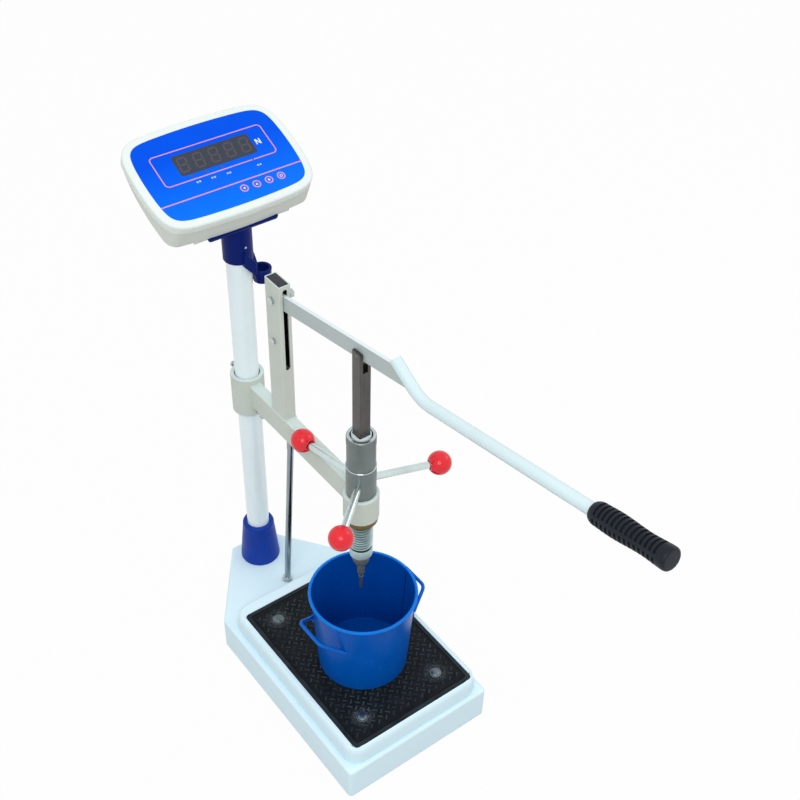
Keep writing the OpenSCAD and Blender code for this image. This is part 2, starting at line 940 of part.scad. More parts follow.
// Hex bolt across the upright, head on the left
module cross_bolt(z, r, head) {
    translate([-tube_w / 2 - bolt_head_h, upright_y, z])
        rotate([0, 90, 0]) {
            cylinder(h = bolt_head_h, r = head, $fn = 6);
            cylinder(h = tube_w + 3 * bolt_head_h, r = r);
        }
}

module cross_nut(z, r, head) {
    translate([tube_w / 2, upright_y, z])
        rotate([0, 90, 0])
            difference() {
                cylinder(h = 1.5 * bolt_head_h, r = head, $fn = 6);
                translate([0, 0, -eps])
                    cylinder(h = 2 * bolt_head_h, r = r);
            }
}

module pivot_bolt() {
    color("Silver")
        shift()
            cross_bolt(pivot_z, pivot_r, pivot_head);
}

module pivot_nut() {
    color("Silver")
        shift()
            cross_nut(pivot_z, pivot_r, pivot_head);
}

module stop_bolt() {
    color("Silver")
        shift()
            cross_bolt(stop_z, stop_r, stop_head);
}

module stop_nut() {
    color("Silver")
        shift()
            cross_nut(stop_z, stop_r, stop_head);
}

module lever_bar() {
    color("LightGray")
        shift()
            lever_frame()
                difference() {
                    translate([-bar_t / 2, -bend_end, -bar_h / 2 - bar_sink])
                        cube([bar_t, bend_end + bar_tail, bar_h]);
                    translate([-bar_t, 0, 0])
                        rotate([0, 90, 0])
                            cylinder(h = 2 * bar_t, r = pivot_r + run);
                    for (d = [-pin_slide, pin_slide])
                        translate([-bar_t, -pin_s + d + 1.1, pin_h])
                            rotate([0, 90, 0])
                                cylinder(h = 2 * bar_t, r = pin_r + free);
                    translate([-bar_t, -pin_s - pin_slide + 1.1, pin_h - pin_r - free])
                        cube([2 * bar_t, 2 * pin_slide, 2 * (pin_r + free)]);
                    translate([0, -bend_s, -handle_drop])
                        rotate([bend_angle - 90, 0, 0]) {
                            translate([0, 0, -bend_r])
                                cylinder(h = 4 * bend_r, r = handle_r);
                            translate([-bar_t, -4 * bend_r, -bend_r])
                                cube([2 * bar_t, 4 * bend_r, 4 * bend_r]);
                        }
                }
}

// Straight length of the handle tube
module tube_length(l) {
    difference() {
        cylinder(h = l, r = handle_r);
        translate([0, 0, -eps])
            cylinder(h = l + 2 * eps, r = handle_r - tube_wall);
    }
}

module handle_tube() {
    color("AliceBlue")
        shift()
            lever_frame() {
                translate([0, -stub_s, stub_h])
                    rotate([bend_angle - 90, 0, 0])
                        translate([0, 0, -bend_lap])
                            tube_length(stub_l + bend_lap);
                translate([0, -bend_end, bend_r - handle_drop])
                    rotate([0, 90, 0])
                        rotate_extrude(angle = bend_angle)
                            translate([bend_r, 0])
                                difference() {
                                    circle(handle_r - bend_thin);
                                    circle(handle_r - tube_wall + bend_thin);
                                }
                translate([0, bend_lap - bend_end, -handle_drop])
                    rotate([90, 0, 0])
                        tube_length(grip_end - grip_plug - bend_end + bend_lap);
            }
}

// Radius of the grip at a distance from its front edge
function grip_at(z) = lookup(z, [
    [0, grip_shoulder],
    [grip_l * 0.07, grip_r - 0.75],
    [grip_l * 0.3, grip_r],
    [grip_l * 0.68, grip_waist],
    [grip_l - grip_edge, grip_end_r]
]);

module hand_grip() {
    first = grip_l * 0.07;
    step = grip_l * 0.83 / grip_ribs;
    color("Black")
        shift()
            lever_frame()
                translate([0, -grip_start, -handle_drop])
                    rotate([90, 0, 0])
                        difference() {
                            rotate_extrude()
                                polygon(concat(
                                    [[0, 0], [grip_shoulder, 0]],
                                    [for (k = [0 : grip_ribs - 1]) for (c = [0 : 3])
                                        let (z = first + (k + [0.1, 0.3, 0.7, 0.9][c]) * step)
                                        [grip_at(z) - (c == 1 || c == 2 ? rib_deep : 0), z]],
                                    [
                                        [grip_end_r, grip_l - grip_edge],
                                        [grip_end_r - grip_edge, grip_l],
                                        [0, grip_l]
                                    ]
                                ));
                            translate([0, 0, -eps])
                                cylinder(h = grip_l - grip_plug + eps, r = handle_r);
                        }
}

module plunger_bar() {
    color("DimGray")
        shift()
            difference() {
                union() {
                    translate([-plunger_w / 2, -plunger_w / 2, square_low])
                        cube([plunger_w, plunger_w, plunger_top - square_low]);
                    translate([0, 0, chuck_top])
                        cylinder(h = square_low - chuck_top, r = shaft_r);
                }
                translate([-slot_w / 2, -plunger_w, fork_low])
                    cube([slot_w, 2 * plunger_w, plunger_top]);
                translate([-plunger_w, 0, pin_z])
                    rotate([0, 90, 0])
                        cylinder(h = 2 * plunger_w, r = pin_r);
            }
}

module cross_pin() {
    color("Silver")
        shift()
            translate([-plunger_w / 2, 0, pin_z])
                rotate([0, 90, 0])
                    cylinder(h = plunger_w, r = pin_r);
}

module needle_chuck() {
    color("DarkSlateGray")
        shift()
            difference() {
                rotate_extrude()
                    polygon([
                        [0, chuck_top],
                        [chuck_r, chuck_top],
                        [chuck_r, chuck_low + 6],
                        [nose_r + 3, chuck_low],
                        [0, chuck_low]
                    ]);
                translate([0, 0, chuck_low - eps])
                    cylinder(h = needle_in - 5 + eps, r = needle_r);
            }
}

module chuck_nose() {
    color("DarkSlateGray")
        shift()
            difference() {
                union() {
                    translate([0, 0, nose_low + 4])
                        cylinder(h = chuck_low - nose_low - 4, r = nose_r, $fn = 6);
                    translate([0, 0, nose_low])
                        cylinder(h = 4, r1 = nose_r - 2.4, r2 = nose_r * hex_flat);
                }
                translate([0, 0, nose_low - eps])
                    cylinder(h = chuck_low - nose_low + 2 * eps, r = needle_r);
            }
}

module needle() {
    color("DarkGray")
        shift() {
            translate([0, 0, tip_z])
                cylinder(h = chuck_low + needle_in - 5 - tip_z, r = needle_r);
            translate([0, 0, tip_z + mark_up])
                cylinder(h = 1.6, r = needle_r + 1.2);
        }
}

module guide_bush() {
    color("Silver")
        shift()
            difference() {
                translate([0, 0, bush_low + free])
                    cylinder(h = cap_z - bush_low - 2 * free, r = bush_r);
                translate([-plunger_w / 2 - run, -plunger_w / 2 - run, bush_low - eps])
                    cube([plunger_w + 2 * run, plunger_w + 2 * run, cap_z - bush_low + 2 * eps]);
            }
}

// Places of the three spokes
module spoke_places() {
    for (a = spoke_angles)
        translate([0, 0, spoke_z])
            rotate([0, 90, a])
                children();
}

module wheel_hub() {
    color("Gray")
        shift()
            difference() {
                rotate_extrude()
                    polygon([
                        [thread_root, hub_low],
                        [hub_r, hub_low],
                        [hub_r, step_z - 2],
                        [sleeve_r, step_z],
                        [sleeve_r, cap_z],
                        [bush_r + run, cap_z],
                        [bush_r + run, bush_low],
                        [hub_bore, bush_low],
                        [hub_bore, hub_socket],
                        [thread_root, hub_socket]
                    ]);
                spoke_places()
                    translate([0, 0, hub_bore + 2])
                        cylinder(h = hub_r, r = spoke_r);
            }
}

module sleeve_cap() {
    color("Silver")
        shift()
            rotate_extrude()
                polygon([
                    [mouth_r, cap_z],
                    [sleeve_r, cap_z],
                    [sleeve_r + 0.5, cap_z + 0.5],
                    [sleeve_r + 0.5, sleeve_top - 1.5],
                    [sleeve_r - 1, sleeve_top],
                    [mouth_r + 1, sleeve_top],
                    [mouth_r, sleeve_top - 1]
                ]);
}

module feed_screw() {
    color("Silver")
        shift()
            rotate_extrude()
                polygon(concat(
                    [[shaft_r + run, screw_low], [screw_r - 1.5, screw_low], [screw_r - 0.5, screw_low + 1]],
                    [[screw_r - 0.5, thread_low - 1], [thread_root, thread_low - 1], [thread_root, thread_low]],
                    [for (k = [0 : thread_turns - 1]) for (c = [0 : 3])
                        [c == 1 || c == 2 ? screw_r : thread_root, thread_low + (k + [0.1, 0.4, 0.6, 0.9][c]) * pitch]],
                    [[thread_root, hub_socket], [shaft_r + run, hub_socket]]
                ));
}

module spokes() {
    color("Silver")
        shift() {
            spoke_places()
                translate([0, 0, hub_bore + 2])
                    cylinder(h = ball_reach - 10 - hub_bore - 2, r = spoke_r);
            difference() {
                spoke_places()
                    translate([0, 0, hub_r - 2])
                        cylinder(h = 7, r = spoke_r + 1.6);
                translate([0, 0, hub_low])
                    cylinder(h = cap_z - hub_low, r = hub_r);
            }
        }
}

module ball_knobs() {
    color("Red")
        shift()
            spoke_places()
                translate([0, 0, ball_reach])
                    difference() {
                        sphere(ball_r);
                        translate([0, 0, -10 - ball_r])
                            cylinder(h = ball_r, r = spoke_r);
                        translate([0, 0, -2 * ball_r])
                            cylinder(h = ball_r + 1.5, r = spoke_r + 5);
                    }
}

module mould_frame() {
    translate([0, mould_y, mat_top])
        children();
}

// Half section of the mould's sheet
module mould_section() {
    polygon([
        [0, 0],
        [mould_low_r + mould_wall, 0],
        [mould_top_r + mould_wall, mould_height],
        [mould_top_r, mould_height],
        [mould_low_r, mould_floor],
        [0, mould_floor]
    ]);
}

module mould_shell() {
    color("MediumBlue")
        shift()
            mould_frame()
                rotate_extrude()
                    mould_section();
}

module mould_rim() {
    color("DodgerBlue")
        shift()
            mould_frame()
                rotate_extrude()
                    difference() {
                        translate([mould_top_r + bead_in + rim_bead, mould_height - rim_bead / 2])
                            circle(rim_bead);
                        mould_section();
                    }
}

module mould_handles() {
    wall_r = mould_low_r + mould_wall + (mould_top_r - mould_low_r) * weld_up / mould_height;
    near = wall_r - wire_r;
    color("MediumBlue")
        shift()
            mould_frame()
                for (turn = [0, 180])
                    rotate([0, 0, turn])
                        difference() {
                            union() {
                                for (s = [-1, 1]) {
                                    rod(
                                        [near * cos(weld_angle), s * near * sin(weld_angle), weld_up],
                                        [loop_out, s * loop_half, loop_up],
                                        wire_r
                                    );
                                    translate([loop_out, s * loop_half, loop_up])
                                        sphere(wire_r + 0.1);
                                }
                                translate([loop_out, loop_half, loop_up])
                                    rotate([90, 0, 0])
                                        cylinder(h = 2 * loop_half, r = wire_r);
                            }
                            cylinder(
                                h = mould_height,
                                r1 = mould_low_r + mould_wall,
                                r2 = mould_top_r + mould_wall
                            );
                        }
}

// Bracket plate on the housing's back and the socket on the column, with a side ring
module column_head() {
    color("MidnightBlue")
        shift()
            difference() {
                union() {
                    back_frame()
                        translate([-bracket_w, bracket_in, -boss_t])
                            cube([2 * bracket_w, boss_h - 2 - 2 * bracket_in, bracket_t - loose]);
                    difference() {
                        translate([0, column_y, socket_low])
                            cylinder(h = panel_z - socket_low, r = socket_r);
                        back_frame()
                            translate([-bezel_w / 2, -bezel_h, bracket_t - loose - boss_t])
                                cube([bezel_w, 2 * bezel_h, bezel_h]);
                        back_frame()
                            translate([-bezel_w / 2, -bezel_h, -boss_t - bezel_h / 3])
                                cube([bezel_w, bezel_h + bracket_in, bezel_h]);
                    }
                    translate([0, column_y + 4, 0])
                        rotate([90, 0, 0])
                            linear_extrude(8)
                                polygon([
                                    [column_r + 1, socket_low + 18],
                                    [socket_r + 1, socket_low + 14],
                                    [ring_x - 5, ring_top + 10],
                                    [ring_x, ring_top],
                                    [ring_x, ring_low],
                                    [ring_x - ring_r + 1, ring_low],
                                    [ring_x - ring_r, ring_top + 2],
                                    [column_r + 1, socket_low]
                                ]);
                    translate([ring_x, column_y, ring_low])
                        cylinder(h = ring_h, r = ring_r);
                }
                translate([0, column_y, socket_low - eps])
                    cylinder(h = column_top - socket_low + eps, r = column_r);
                translate([ring_x, column_y, ring_low - eps])
                    cylinder(h = ring_h + 2 * eps, r = ring_bore);
                translate([ring_x, column_y, ring_top])
                    cylinder(h = 2 * ring_h, r = ring_r + 0.5);
                translate([0, column_y, column_top - 20])
                    rotate([90, 0, 0])
                        cylinder(h = 2 * socket_r, r = 2);
            }
}

module head_screw() {
    color("Silver")
        shift()
            translate([0, column_y, column_top - 20])
                rotate([90, 0, 0])
                    difference() {
                        union() {
                            cylinder(h = socket_r + 1, r = 2);
                            translate([0, 0, socket_r])
                                cylinder(h = 1.8, r = 3.4);
                        }
                        translate([0, 0, -eps])
                            cylinder(h = column_r + eps, r = 4);
                    }
}

module bracket_screws() {
    color("Silver")
        shift()
            back_frame()
                for (sx = [-1, 1])
                    for (y = [14, boss_h - 16])
                        translate([sx * (bracket_w - 10), y, -boss_t - 2.2])
                            cylinder(h = 2.2, r = 4);
}

// Part of the housing in front of its sloping back, moved in by a length
module before_back(inn) {
    back_frame()
        translate([-bezel_w, -bezel_h, inn])
            cube([2 * bezel_w, 3 * bezel_h, 3 * deep_low]);
}

module indicator_back() {
    color("Linen")
        shift() {
            difference() {
                intersection() {
                    panel_frame()
                        translate([0, 0, -deep_low - 20])
                            linear_extrude(deep_low + 20 - bezel_t)
                                barrel(bezel_w - 2 * case_in, bezel_h - 2 * case_in, bow_side, bow_end, back_r);
                    before_back(0);
                }
                intersection() {
                    panel_frame()
                        translate([0, 0, -deep_low - 20])
                            linear_extrude(deep_low + 21 - bezel_t)
                                barrel(
                                    bezel_w - 2 * case_in - 2 * case_wall,
                                    bezel_h - 2 * case_in - 2 * case_wall,
                                    bow_side, bow_end, back_r - case_wall
                                );
                    before_back(case_wall);
                }
            }
            difference() {
                back_frame()
                    translate([-boss_w, 4, -boss_t])
                        cube([2 * boss_w, boss_h, boss_t]);
                back_frame()
                    translate([-bracket_w - 0.5, -eps, -boss_t - eps])
                        cube([2 * bracket_w + 1, boss_h - 2 + eps, boss_t + eps]);
            }
        }
}

// Round holes for the keys
module key_places() {
    for (k = [0 : 3])
        translate([key_x + k * key_step, key_y, 0])
            children();
}

module indicator_front() {
    color("White")
        shift()
            panel_frame()
                difference() {
                    translate([0, 0, -bezel_t])
                        linear_extrude(bezel_t)
                            barrel(bezel_w, bezel_h, bow_side, bow_end, bezel_r);
                    translate([0, 0, -bezel_t - eps])
                        linear_extrude(bezel_t - window_t + eps)
                            barrel(
                                bezel_w - 2 * case_in - 2 * case_wall,
                                bezel_h - 2 * case_in - 2 * case_wall,
                                bow_side, bow_end, bezel_r - case_wall
                            );
                    translate([0, 0, -overlay_t])
                        linear_extrude(overlay_t + eps)
                            barrel(bezel_w - 2 * border, bezel_h - 2 * border, bow_side, bow_end, bezel_r - border / 3);
                    translate([-window_w / 2, window_y - window_h / 2, -bezel_t])
                        cube([window_w, window_h, 2 * bezel_t]);
                    key_places()
                        translate([0, 0, -bezel_t])
                            cylinder(h = 2 * bezel_t, r = key_r + free);
                }
}

module panel_overlay() {
    color("DodgerBlue")
        shift()
            panel_frame()
                translate([0, 0, -overlay_t])
                    difference() {
                        linear_extrude(overlay_t)
                            barrel(bezel_w - 2 * border, bezel_h - 2 * border, bow_side, bow_end, bezel_r - border / 3);
                        translate([-window_w / 2, window_y - window_h / 2, -eps])
                            cube([window_w, window_h, overlay_t + 2 * eps]);
                        key_places()
                            translate([0, 0, -eps])
                                cylinder(h = overlay_t + 2 * eps, r = key_r + free);
                    }
}

module display_window() {
    color("DarkSlateGray")
        shift()
            panel_frame()
                translate([-window_w / 2, window_y - window_h / 2, -window_t])
                    cube([window_w, window_h, window_t - 0.2]);
}

module display_board() {
    color("DarkGreen")
        shift()
            panel_frame() {
                translate([-board_w / 2, key_y - board_edge, board_z - board_t])
                    cube([board_w, board_h, board_t]);
                for (k = [-2 : 2])
                    translate([k * digit_step - digit_w / 2, window_y - digit_h / 2, board_z])
                        cube([digit_w, digit_h, -board_z - window_t]);
                for (sx = [-1, 1])
                    for (y = [key_y, key_y + board_h - 2 * board_edge])
                        translate([sx * (board_w / 2 - board_edge), y, board_z])
                            cylinder(h = -board_z - window_t, r = post_r);
                key_places()
                    translate([0, 0, board_z])
                        cylinder(h = key_proud - key_t - key_travel - free - board_z, r = key_r / 2);
            }
}

// One panel key, counted from the left
module key_cap(k) {
    color("LightSteelBlue")
        shift()
            panel_frame()
                translate([key_x + k * key_step, key_y, key_proud - key_t])
                    cylinder(h = key_t, r = key_r);
}

module key_a() {
    key_cap(0);
}

module key_b() {
    key_cap(1);
}

module key_c() {
    key_cap(2);
}

module key_d() {
    key_cap(3);
}

base_cover();
base_plate();
rubber_feet();
load_cell();
cell_blocks();
pan_spider();
weigh_pan();
rubber_mat();
mat_screws();
column_post();
column_flange();
column_tube();
column_boot();
tie_rod();
tie_sleeve();
tie_nut();
tie_washer();
clamp_collar();
clamp_bolts();
arm_tube();
head_collar();
brass_nut();
upright_tube();
upright_cap();
pivot_bolt();
pivot_nut();
stop_bolt();
stop_nut();
lever_bar();
handle_tube();
hand_grip();
plunger_bar();
cross_pin();
needle_chuck();
chuck_nose();
needle();
guide_bush();
wheel_hub();
sleeve_cap();
feed_screw();
spokes();
ball_knobs();
mould_shell();
mould_rim();
mould_handles();
column_head();
head_screw();
bracket_screws();
indicator_back();
indicator_front();
panel_overlay();
display_window();
display_board();
key_a();
key_b();
key_c();
key_d();
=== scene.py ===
import math

import bmesh
import bpy
from mathutils import Matrix, Vector


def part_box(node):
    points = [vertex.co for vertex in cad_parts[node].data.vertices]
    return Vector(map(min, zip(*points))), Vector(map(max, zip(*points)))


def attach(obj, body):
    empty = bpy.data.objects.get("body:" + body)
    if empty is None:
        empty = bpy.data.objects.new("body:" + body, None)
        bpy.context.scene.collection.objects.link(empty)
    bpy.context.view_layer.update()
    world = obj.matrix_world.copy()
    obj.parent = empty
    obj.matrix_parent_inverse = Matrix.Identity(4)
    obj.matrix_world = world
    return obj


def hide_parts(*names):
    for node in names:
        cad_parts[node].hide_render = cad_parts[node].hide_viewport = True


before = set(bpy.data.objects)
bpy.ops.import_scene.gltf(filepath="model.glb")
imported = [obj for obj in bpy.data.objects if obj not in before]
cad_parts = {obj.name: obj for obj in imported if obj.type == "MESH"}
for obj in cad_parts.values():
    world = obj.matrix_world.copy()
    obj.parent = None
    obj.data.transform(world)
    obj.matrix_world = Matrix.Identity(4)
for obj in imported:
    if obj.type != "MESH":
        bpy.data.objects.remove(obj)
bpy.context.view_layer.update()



def at(x, y, z):
    return Matrix.Translation((x, y, z))


def turned(degrees, axis):
    return Matrix.Rotation(math.radians(degrees), 4, axis)


# Shapes are modelled in millimetres from the needle's axis and the floor, and placed in metres at the end
MM = 0.001
needle_low, needle_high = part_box("needle")
MACHINE = at(0, (needle_low.y + needle_high.y) / 2, 0) @ Matrix.Scale(MM, 4)
UPRIGHT_Y = 202
COLUMN_Y = 308
PIVOT_Z = 685.5
LEDGE = 65
LEVER = at(0, UPRIGHT_Y, PIVOT_Z) @ turned(-10.3, "X")
PANEL = at(0, 342, 833.4) @ turned(23.7, "X")
MAT_TOP = 99.5
MAT_MID = 12.5
MAT_SCREWS = [(-72, -105), (72, -105), (-72, 135), (72, 135)]
MOULD = at(0, -6, MAT_TOP)
SPOKE_Z = 489
SPOKE_ANGLES = (-19, 101, 221)


# Node building
def shade(red, green, blue):
    """Linear colour of a paint that is written as it shows on a screen."""
    def linear(value):
        value = value / 255
        return value / 12.92 if value <= 0.04045 else ((value + 0.055) / 1.055) ** 2.4

    return (linear(red), linear(green), linear(blue), 1.0)


def add(tree, kind, place, values=None, **settings):
    """New shader node at a place on the sheet, with its input values and settings."""
    node = tree.nodes.new(kind if kind.startswith("NodeGroup") else "ShaderNode" + kind)
    node.location = (place[0] * 200, -place[1] * 200)
    for key, value in settings.items():
        setattr(node, key, value)
    for key, value in (values or {}).items():
        node.inputs[key].default_value = value
    return node


def span(tree, place, low, high, to_low=0.0, to_high=1.0):
    """Node that turns one range of values into another."""
    limits = {"From Min": low, "From Max": high, "To Min": to_low, "To Max": to_high}
    return add(tree, "MapRange", place, limits)


def wire_up(tree, *links):
    """Joins nodes, for each link of a node, its output, the next node and its input."""
    for source, output, target, entry in links:
        tree.links.new(source.outputs[output], target.inputs[entry])


def open_group(name, inputs, outputs):
    """Empty group with its sockets, and the nodes of its inputs and outputs."""
    tree = bpy.data.node_groups.new(name, "ShaderNodeTree")
    kinds = {"colour": "NodeSocketColor", "value": "NodeSocketFloat", "vector": "NodeSocketVector"}
    for label, kind, value in inputs:
        socket = tree.interface.new_socket(name=label, in_out="INPUT", socket_type=kinds[kind])
        socket.default_value = value
    for label, kind in outputs:
        tree.interface.new_socket(name=label, in_out="OUTPUT", socket_type=kinds[kind])
    return tree, add(tree, "NodeGroupInput", (-5, 0)), add(tree, "NodeGroupOutput", (5, 0))


def make_tone_group():
    """Slow light and dark patches in a coat or a moulding."""
    tree, into, out = open_group(
        "uneven_tone",
        [("Colour", "colour", (0.8, 0.8, 0.8, 1)), ("Amount", "value", 0.06), ("Scale", "value", 14.0)],
        [("Colour", "colour"), ("Patch", "value")],
    )
    place = add(tree, "TexCoord", (-4, 1))
    cloud = add(tree, "TexNoise", (-3, 1), {"Detail": 4.0, "Roughness": 0.55})
    low = add(tree, "Math", (-2, 2), {0: 1.0}, operation="SUBTRACT")
    spread = span(tree, (-1, 1), 0.3, 0.7)
    tint = add(tree, "VectorMath", (1, 0), operation="SCALE")
    wire_up(
        tree,
        (place, "Object", cloud, "Vector"),
        (into, "Scale", cloud, "Scale"),
        (into, "Amount", low, 1),
        (cloud, "Fac", spread, "Value"),
        (low, 0, spread, "To Min"),
        (into, "Colour", tint, 0),
        (spread, "Result", tint, "Scale"),
        (tint, 0, out, "Colour"),
        (cloud, "Fac", out, "Patch"),
    )
    return tree


def make_grime_group():
    """Thin dirt that lies in blotches and in small specks."""
    tree, into, out = open_group(
        "handling_grime",
        [
            ("Colour", "colour", (0.8, 0.8, 0.8, 1)),
            ("Dirt", "colour", (0.2, 0.17, 0.13, 1)),
            ("Amount", "value", 0.2),
            ("Scale", "value", 22.0),
        ],
        [("Colour", "colour"), ("Mask", "value")],
    )
    place = add(tree, "TexCoord", (-4, 1))
    blotch = add(tree, "TexNoise", (-3, 1), {"Detail": 6.0, "Roughness": 0.62, "Distortion": 0.4})
    fine = add(tree, "Math", (-4, 2), {1: 17.0}, operation="MULTIPLY")
    speck = add(tree, "TexNoise", (-3, 2), {"Detail": 2.0})
    broad = span(tree, (-2, 1), 0.48, 0.78)
    dots = span(tree, (-2, 2), 0.66, 0.74)
    both = add(tree, "Math", (-1, 1), operation="MAXIMUM")
    share = add(tree, "Math", (0, 1), operation="MULTIPLY", use_clamp=True)
    blend = add(tree, "Mix", (2, 0), data_type="RGBA")
    wire_up(
        tree,
        (place, "Object", blotch, "Vector"),
        (place, "Object", speck, "Vector"),
        (into, "Scale", blotch, "Scale"),
        (into, "Scale", fine, 0),
        (fine, 0, speck, "Scale"),
        (blotch, "Fac", broad, "Value"),
        (speck, "Fac", dots, "Value"),
        (broad, "Result", both, 0),
        (dots, "Result", both, 1),
        (both, 0, share, 0),
        (into, "Amount", share, 1),
        (share, 0, blend, "Factor"),
        (into, "Colour", blend, "A"),
        (into, "Dirt", blend, "B"),
        (blend, "Result", out, "Colour"),
        (share, 0, out, "Mask"),
    )
    return tree


def make_dust_and_top_light_group():
    """Pale dust on the faces that look up; with Evenness raised it is painted top light, an even lightening
    of the upward faces.
    """
    tree, into, out = open_group(
        "dust_and_top_light",
        [
            ("Colour", "colour", (0.8, 0.8, 0.8, 1)),
            ("Dust", "colour", shade(196, 198, 194)),
            ("Amount", "value", 0.15),
            ("Scale", "value", 60.0),
            ("Evenness", "value", 0.0),
        ],
        [("Colour", "colour"), ("Mask", "value")],
    )
    place = add(tree, "TexCoord", (-4, 1))
    face = add(tree, "NewGeometry", (-4, 2))
    parts = add(tree, "SeparateXYZ", (-3, 2))
    up = span(tree, (-2, 2), 0.2, 0.95)
    cloud = add(tree, "TexNoise", (-3, 1), {"Detail": 7.0, "Roughness": 0.7})
    spread = span(tree, (-2, 1), 0.36, 0.72)
    least = add(tree, "Math", (-1, 2), operation="MAXIMUM")
    lies = add(tree, "Math", (-1, 1), operation="MULTIPLY")
    share = add(tree, "Math", (0, 1), operation="MULTIPLY", use_clamp=True)
    blend = add(tree, "Mix", (2, 0), data_type="RGBA")
    wire_up(
        tree,
        (place, "Object", cloud, "Vector"),
        (into, "Scale", cloud, "Scale"),
        (face, "Normal", parts, 0),
        (parts, "Z", up, "Value"),
        (cloud, "Fac", spread, "Value"),
        (spread, "Result", least, 0),
        (into, "Evenness", least, 1),
        (least, 0, lies, 0),
        (up, "Result", lies, 1),
        (lies, 0, share, 0),
        (into, "Amount", share, 1),
        (share, 0, blend, "Factor"),
        (into, "Colour", blend, "A"),
        (into, "Dust", blend, "B"),
        (blend, "Result", out, "Colour"),
        (share, 0, out, "Mask"),
    )
    return tree


def make_grain_group():
    """Fine relief of a sprayed coat, a moulded skin or a tool's path."""
    tree, into, out = open_group(
        "surface_grain",
        [("Scale", "value", 900.0), ("Stretch", "vector", (1, 1, 1))],
        [("Height", "value"), ("Lines", "value")],
    )
    place = add(tree, "TexCoord", (-4, 1))
    pull = add(tree, "VectorMath", (-3, 1), operation="MULTIPLY")
    coarse = add(tree, "TexNoise", (-2, 1), {"Detail": 3.0, "Roughness": 0.6})
    crisp = span(tree, (-1, 2), 0.35, 0.65)
    wire_up(
        tree,
        (place, "Object", pull, 0),
        (into, "Stretch", pull, 1),
        (pull, 0, coarse, "Vector"),
        (into, "Scale", coarse, "Scale"),
        (coarse, "Fac", out, "Height"),
        (coarse, "Fac", crisp, "Value"),
        (crisp, "Result", out, "Lines"),
    )
    return tree


def make_scratch_group():
    """Thin rubbed marks that run mostly one way."""
    tree, into, out = open_group(
        "rubbed_marks",
        [("Stretch", "vector", (1, 1, 1)), ("Scale", "value", 40.0), ("Amount", "value", 0.5)],
        [("Mask", "value")],
    )
    place = add(tree, "TexCoord", (-5, 1))
    pull = add(tree, "VectorMath", (-4, 1), operation="MULTIPLY")
    vein = add(tree, "TexNoise", (-3, 1), {"Detail": 3.0, "Distortion": 0.6})
    area = add(tree, "TexNoise", (-3, 2), {"Scale": 35.0, "Detail": 2.0})
    middle = add(tree, "Math", (-2, 1), {1: 0.5}, operation="SUBTRACT")
    fold = add(tree, "Math", (-1, 1), operation="ABSOLUTE")
    thin = span(tree, (0, 1), 0.018, 0.004)
    where = span(tree, (0, 2), 0.5, 0.66)
    both = add(tree, "Math", (2, 1), operation="MULTIPLY")
    share = add(tree, "Math", (3, 1), operation="MULTIPLY", use_clamp=True)
    wire_up(
        tree,
        (place, "Object", pull, 0),
        (place, "Object", area, "Vector"),
        (into, "Stretch", pull, 1),
        (pull, 0, vein, "Vector"),
        (into, "Scale", vein, "Scale"),
        (vein, "Fac", middle, 0),
        (middle, 0, fold, 0),
        (fold, 0, thin, "Value"),
        (area, "Fac", where, "Value"),
        (thin, "Result", both, 0),
        (where, "Result", both, 1),
        (both, 0, share, 0),
        (into, "Amount", share, 1),
        (share, 0, out, "Mask"),
    )
    return tree


TONE = make_tone_group()
GRIME = make_grime_group()
DUST_AND_TOP_LIGHT = make_dust_and_top_light_group()
GRAIN = make_grain_group()
SCRATCH = make_scratch_group()


def use(tree, group, place, values):
    """Group in a finish, with that finish's values."""
    return add(tree, "Group", place, values, node_tree=group)


def blank(name, colour, **constants):
    """A finish with its shader, still without detail."""
    finish = bpy.data.materials.new(name)
    finish.use_nodes = True
    finish.diffuse_color = colour
    tree = finish.node_tree
    tree.nodes.clear()
    end = add(tree, "OutputMaterial", (7, 0))
    skin = add(tree, "BsdfPrincipled", (5, 0), {"Base Color": colour})
    for key, value in constants.items():
        skin.inputs[key.replace("_", " ").title().replace("Ior", "IOR")].default_value = value
    wire_up(tree, (skin, 0, end, 0))
    return finish, tree, skin


def spread_roughness(tree, skin, source, output, low, high):
    """Roughness that follows a value over the surface."""
    level = span(tree, (3, 2), 0.25, 0.75, low, high)
    wire_up(tree, (source, output, level, "Value"), (level, "Result", skin, "Roughness"))


def raise_relief(tree, skin, source, depth):
    """Relief from a group's height."""
    relief = add(tree, "Bump", (3, 4), {"Distance": depth})
    wire_up(tree, (source, "Height", relief, "Height"), (relief, 0, skin, "Normal"))


def layered(tree, skin, *layers):
    """Lays groups over each other, the last of them on the shader."""
    for under, over in zip(layers, layers[1:]):
        wire_up(tree, (under, "Colour", over, "Colour"))
    wire_up(tree, (layers[-1], "Colour", skin, "Base Color"))


def sprayed(name, colour, rough, peel=420.0, depth=0.00012, tone=0.05, grime=0.1, dirt=shade(118, 116, 104),
            dust=0.0, dust_and_light_tint=shade(196, 198, 194), even_top_light=0.0, coat=0.0, shine=0.5):
    """Sprayed or enamelled coat with orange peel, uneven tone and handling grime, and a pale layer on upward
    faces: dust when blotchy, painted top light when spread evenly.
    """
    finish, tree, skin = blank(name, colour, coat_weight=coat, coat_roughness=0.12, specular_ior_level=shine)
    even = use(tree, TONE, (-2, 0), {"Colour": colour, "Amount": tone, "Scale": 11.0})
    dirty = use(tree, GRIME, (-1, 0), {"Dirt": dirt, "Amount": grime, "Scale": 19.0})
    # Pale layer on upward faces: blotchy dust, and where it is spread evenly, painted top light.
    dust_and_light_layer = use(tree, DUST_AND_TOP_LIGHT, (0, 0), {"Dust": dust_and_light_tint, "Amount": dust, "Scale": 70.0, "Evenness": even_top_light})
    peel_of = use(tree, GRAIN, (0, 3), {"Scale": peel})
    layered(tree, skin, even, dirty, dust_and_light_layer)
    spread_roughness(tree, skin, even, "Patch", rough - 0.05, rough + 0.09)
    raise_relief(tree, skin, peel_of, depth)
    return finish


